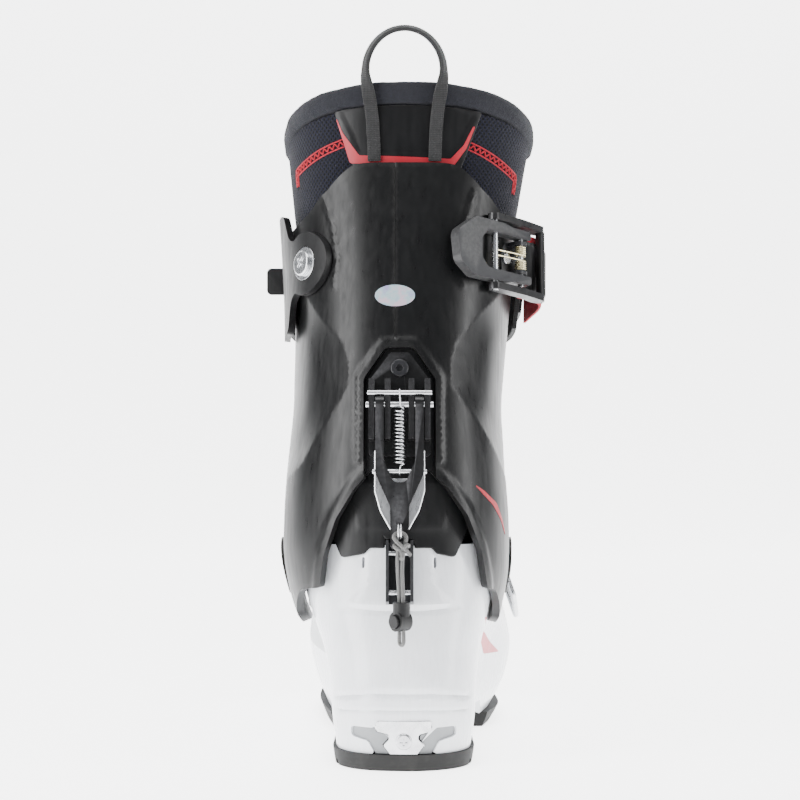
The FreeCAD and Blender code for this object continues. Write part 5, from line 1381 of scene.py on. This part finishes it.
def make_stitches():
    """Red zig-zag rows beside the rear panel."""
    seams = Shape()
    lines = Relief(liner_surface)
    for route in STITCH_ARCS:
        middle = evenly(lines.flat(rounded_line(route)), 1.9)
        way = np.gradient(middle, axis=0)
        way /= np.linalg.norm(way, axis=1, keepdims=True)
        beside = np.column_stack([-way[:, 1], way[:, 0]])
        for k in range(len(middle) - 1):
            swing = 1.25 if k % 2 else -1.25
            ends = np.stack([middle[k] - beside[k] * swing, middle[k + 1] + beside[k + 1] * swing])
            points, normals = on_surface(liner_surface, evenly(ends, 0.8), 0.15)
            seams.bead(points, normals, 0.85, 0.45)
        for offset in (-1.9, 1.9):
            points, normals = on_surface(liner_surface, middle + beside * offset, 0.05)
            seams.bead(points, normals, 0.8, 0.35)
    obj = seams.piece("liner_red_stitches", 60)
    extra(obj, BODIES["liner_shaft"], "liner_foam", "red_thread")


def make_panel():
    outer = Surface(LINER, -1.3, 284, 333)

    def keep(x, y, z):
        inside = np.where(y < 60, -clearance(PANEL, x, z), -50)
        return np.minimum(inside, rim_height(y) - COLLAR_DEPTH - z)

    relief = Relief(outer)
    relief.step([(-31, 326), (-22, 306), (26, 306), (35, 324), (20, 330), (-18, 331)], 1.5, -0.35)
    panel = skin("liner_rear_panel_skin", outer, keep, 1.6, relief)
    stand_in(thicken(panel, 1.1, 0.4), "liner_rear_panel")
    frame_lines = [(-37.2, 331), (-33, 319), (-27.2, 300.2), (25, 298.2), (32, 308), (40.4, 329),
                   (30.5, 309.5), (23.8, 302.4), (-22.5, 304.2), (-31.0, 316)]
    line_surface = Surface(LINER, -1.55, 284, 333)
    band = rounded([(x, z, 1.0) for x, z in frame_lines], 0.6)

    def keep_band(x, y, z):
        inside = np.where(y < 60, -clearance(band, x, z), -50)
        return np.minimum(inside, rim_height(y) - COLLAR_DEPTH + 0.5 - z)

    lines = skin("liner_panel_frame", line_surface, keep_band, 1.0)
    extra(thicken(lines, 0.4, 0.0), BODIES["liner_rear_panel"], "panel_plastic", "red_print")


def make_pull_loop():
    """Ribbed webbing loop. Its legs lie flat on the panel and it turns edge-on over the arch."""
    up = np.array([0, 0.02, 1.0])
    back = np.array([0, -1.0, 0.02])
    base = np.array([0.5, 0, 293.0])
    height = 76.6
    foot, shoulder = 15.2, 19.8
    legs = [(-foot - 0.1, 8), (-foot - 0.4, 20), (-foot - 1.4, 34), (-shoulder, 50)]
    arc = [(-shoulder * math.cos(a), height - 1.3 - shoulder * 1.1 + shoulder * 1.1 * math.sin(a))
           for a in np.radians(np.linspace(0, 180, 25))]
    route = legs + arc + [(-u, v) for u, v in reversed(legs)]
    middle = evenly(rounded_line(route, 2), 0.55)
    way = np.gradient(middle, axis=0)
    way /= np.linalg.norm(way, axis=1, keepdims=True)

    def clear_of_rim(u, v):
        """How far back the webbing lies: on the panel, over the roll, then leaning in a little."""
        height = 293.0 + min(v, 40)
        around = liner_surface.round_at(u, height)
        roll = 1.6 * float(soft(np.array((v - 26) / 12)))
        lean = 0.10 * max(v - 44, 0)
        return liner_surface.at(around, np.array([height]))[0][1] - 2.7 - roll + lean

    rings = []
    for k, ((u, v), (du, dv)) in enumerate(zip(middle, way)):
        along_web = np.array([1.0, 0, 0]) * du + up * dv
        in_plane = np.array([1.0, 0, 0]) * dv - up * du
        twist = math.radians(66) * float(soft(np.array((v - 36) / 20)))
        across_web = in_plane * math.cos(twist) + back * math.sin(twist)
        out = np.cross(along_web, across_web)
        rib = 0.12 * math.cos(k * math.pi)
        place = base + np.array([u, clear_of_rim(u, v), v])
        ring = []
        for a, b in ((-1, -0.5), (-0.93, -0.95), (-0.5, -1.05), (0, -1.0), (0.5, -1.05), (0.93, -0.95), (1, -0.5),
                     (1, 0.5), (0.93, 0.95), (0.5, 1.05), (0, 1.0), (-0.5, 1.05), (-0.93, 0.95), (-1, 0.5)):
            ring.append(place + across_web * a * 3.3 + out * b * (0.95 + rib))
        rings.append(ring)
    loop = Shape()
    loop.rings(rings)
    stand_in(loop.piece("liner_pull_webbing", 60), "liner_pull_loop")


def make_inner_soft_parts():
    for node, look in (("liner_foot", "liner_foam"), ("insole", "insole_foam")):
        obj = refined(node, 0.0)
        stand_in(obj, node, look)


make_shaft()
make_collar()
make_tongue()
make_throat()
make_stitches()
make_panel()
make_pull_loop()
make_inner_soft_parts()

# ---------------------------------------------------------------- straps and buckles
def make_straps():
    for node, width in (("power_strap", 0.5), ("strap_ladder", 0.4), ("strap_pull_tab", 0.5),
                        ("instep_ladder_strap", 0.4)):
        stand_in(refined(node, width), node)
    for node, width in (("strap_anchor", 0.7), ("strap_washer", 0.3), ("strap_screw", 0.3)):
        stand_in(refined(node, width, 3), node)


def make_buckles():
    widths = {"cuff_buckle_base": 0.3, "cuff_buckle_lever": 0.7, "cuff_buckle_bail": 0.5,
              "cuff_buckle_rivets": 0.5, "cuff_buckle_pin": 0.3, "cuff_bail_axle": 0.3,
              "instep_buckle_base": 0.3, "instep_buckle_lever": 0.8, "instep_buckle_pin": 0.3}
    for node, width in widths.items():
        stand_in(refined(node, width, 3), node)
    stand_in(refined("instep_bail", 0.0), "instep_bail")


STRAP_LEAN = math.radians(12)
BUCKLE_TURN = math.radians(42)
BAND = [(59.5, 24), (64.5, 27.8), (69.4, 32.4), (72.2, 37.5), (72.8, 44), (71.6, 53), (69.2, 63), (66.5, 76)]


def swept_band(name, section, lift):
    """Upright band along the buckle's run. section(k) gives each ring's out and up offsets."""
    middle = evenly(rounded_line(BAND, 2), 0.65)
    way = np.gradient(middle, axis=0)
    way /= np.linalg.norm(way, axis=1, keepdims=True)
    rings = []
    for k, ((x, y), (dx, dy)) in enumerate(zip(middle, way)):
        height = 250 - (y - 20) * math.tan(STRAP_LEAN)
        rings.append([(x + dy * (out + lift), y - dx * (out + lift), height + up) for out, up in section(k)])
    band = Shape()
    band.rings(rings)
    return band.piece(name, 30)


def make_ladder_band():
    """Toothed band that the cuff buckle's bail hooks into, on a red webbing backing."""
    def teeth(k):
        proud = 0.5 + 0.3 * (k % 4)
        return [(-0.8, -13), (0.4, -13), (0.6, -11.8), (proud, -10.8), (proud, 10.8), (0.6, 11.8), (0.4, 13),
                (-0.8, 13)]

    def backing(k):
        return [(-0.7, -16.5), (0.5, -16.5), (0.7, -16), (0.7, 16), (0.5, 16.5), (-0.7, 16.5)]

    extra(swept_band("cuff_buckle_ladder", teeth, 0.0), "cuff", "strap_plastic")
    extra(swept_band("cuff_buckle_ladder_backing", backing, -1.6), "cuff", "webbing", "red_thread")


def make_buckle_springs():
    """Torsion springs on the lever's pin, each with a leg to the bail's axle."""
    lean = Matrix.Rotation(-STRAP_LEAN, 3, "X")
    along, out = ((math.cos(BUCKLE_TURN), math.sin(BUCKLE_TURN)), (math.sin(BUCKLE_TURN), -math.cos(BUCKLE_TURN)))
    turn = Matrix([lean @ Vector((*way, 0)) for way in (along, out)] + [lean @ Vector((0, 0, 1))]).transposed()
    low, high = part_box("cuff_buckle_pin")
    pin = Matrix.Translation((Vector(low) + Vector(high)) / 2 / MM) @ turn.to_4x4()
    springs = Shape()
    for side in (-1, 1):
        turns = np.linspace(0, 4.6 * 2 * np.pi, 110)
        coil = [(2.5 * math.cos(a), 2.5 * math.sin(a), side * (1.4 + 4.6 * k / 109)) for k, a in enumerate(turns)]
        leg = [(-19 * t, 2.4 - 1.4 * t, side * 1.4) for t in np.linspace(1, 0.05, 12)]
        springs.tube(placed(pin, leg + coil), 0.45, 8)
    stand_in(springs.piece("cuff_buckle_torsion_springs", 60), "cuff_buckle_springs")


make_straps()
make_buckles()
make_ladder_band()
make_buckle_springs()

# ---------------------------------------------------------------- floor and light
def make_floor():
    """Pale paper that runs along the floor and sweeps up behind the boot."""
    half, near, bend, radius, top = 3.0, -2.5, 1.4, 0.9, 2.8
    arc = [(bend + radius * math.sin(a), radius - radius * math.cos(a)) for a in np.radians(np.arange(0, 91, 5))]
    profile = [(near, 0.0)] + arc + [(bend + radius, top)]
    points = [(side * half, y, z) for y, z in profile for side in (-1, 1)]
    faces = [(2 * k, 2 * k + 1, 2 * k + 3, 2 * k + 2) for k in range(len(profile) - 1)]
    mesh = bpy.data.meshes.new("floor")
    mesh.from_pydata(points, [], faces)
    floor = smooth(put("floor", mesh), 60)
    pale = Paint("floor", (0.88, 0.88, 0.885), 0.6, Emission_Color=(1, 1, 1, 1))
    depth = pale.node("ShaderNodeSeparateXYZ")
    pale.link(pale.node("ShaderNodeNewGeometry").outputs["Position"], depth.inputs[0])
    pale.link(pale.remap(depth.outputs["Y"], -0.5, -0.1, 0.2, 3.6), pale.shader.inputs["Emission Strength"])
    pale.bump(pale.noise(3, 3), 0.02)
    mesh.materials.append(pale.material)


def area_light(name, place, size, power):
    data = bpy.data.lights.new(name, "AREA")
    data.shape = "RECTANGLE"
    data.size, data.size_y = size
    data.energy = power
    light = bpy.data.objects.new(name, data)
    light.location = place
    aim = Vector((0, 0.03, 0.18)) - Vector(place)
    light.rotation_euler = aim.to_track_quat("-Z", "Y").to_euler()
    bpy.context.scene.collection.objects.link(light)


make_floor()
world = bpy.data.worlds.new("studio")
world.use_nodes = True
world.node_tree.nodes["Background"].inputs["Color"].default_value = (0.95, 0.97, 1.0, 1)
world.node_tree.nodes["Background"].inputs["Strength"].default_value = 0.35
bpy.context.scene.world = world
area_light("left_panel", (-0.95, -0.60, 0.45), (0.55, 1.1), 22)
area_light("right_panel", (1.1, -0.35, 0.45), (0.3, 0.9), 9)
area_light("above", (0.0, -0.2, 1.5), (1.1, 1.1), 22)
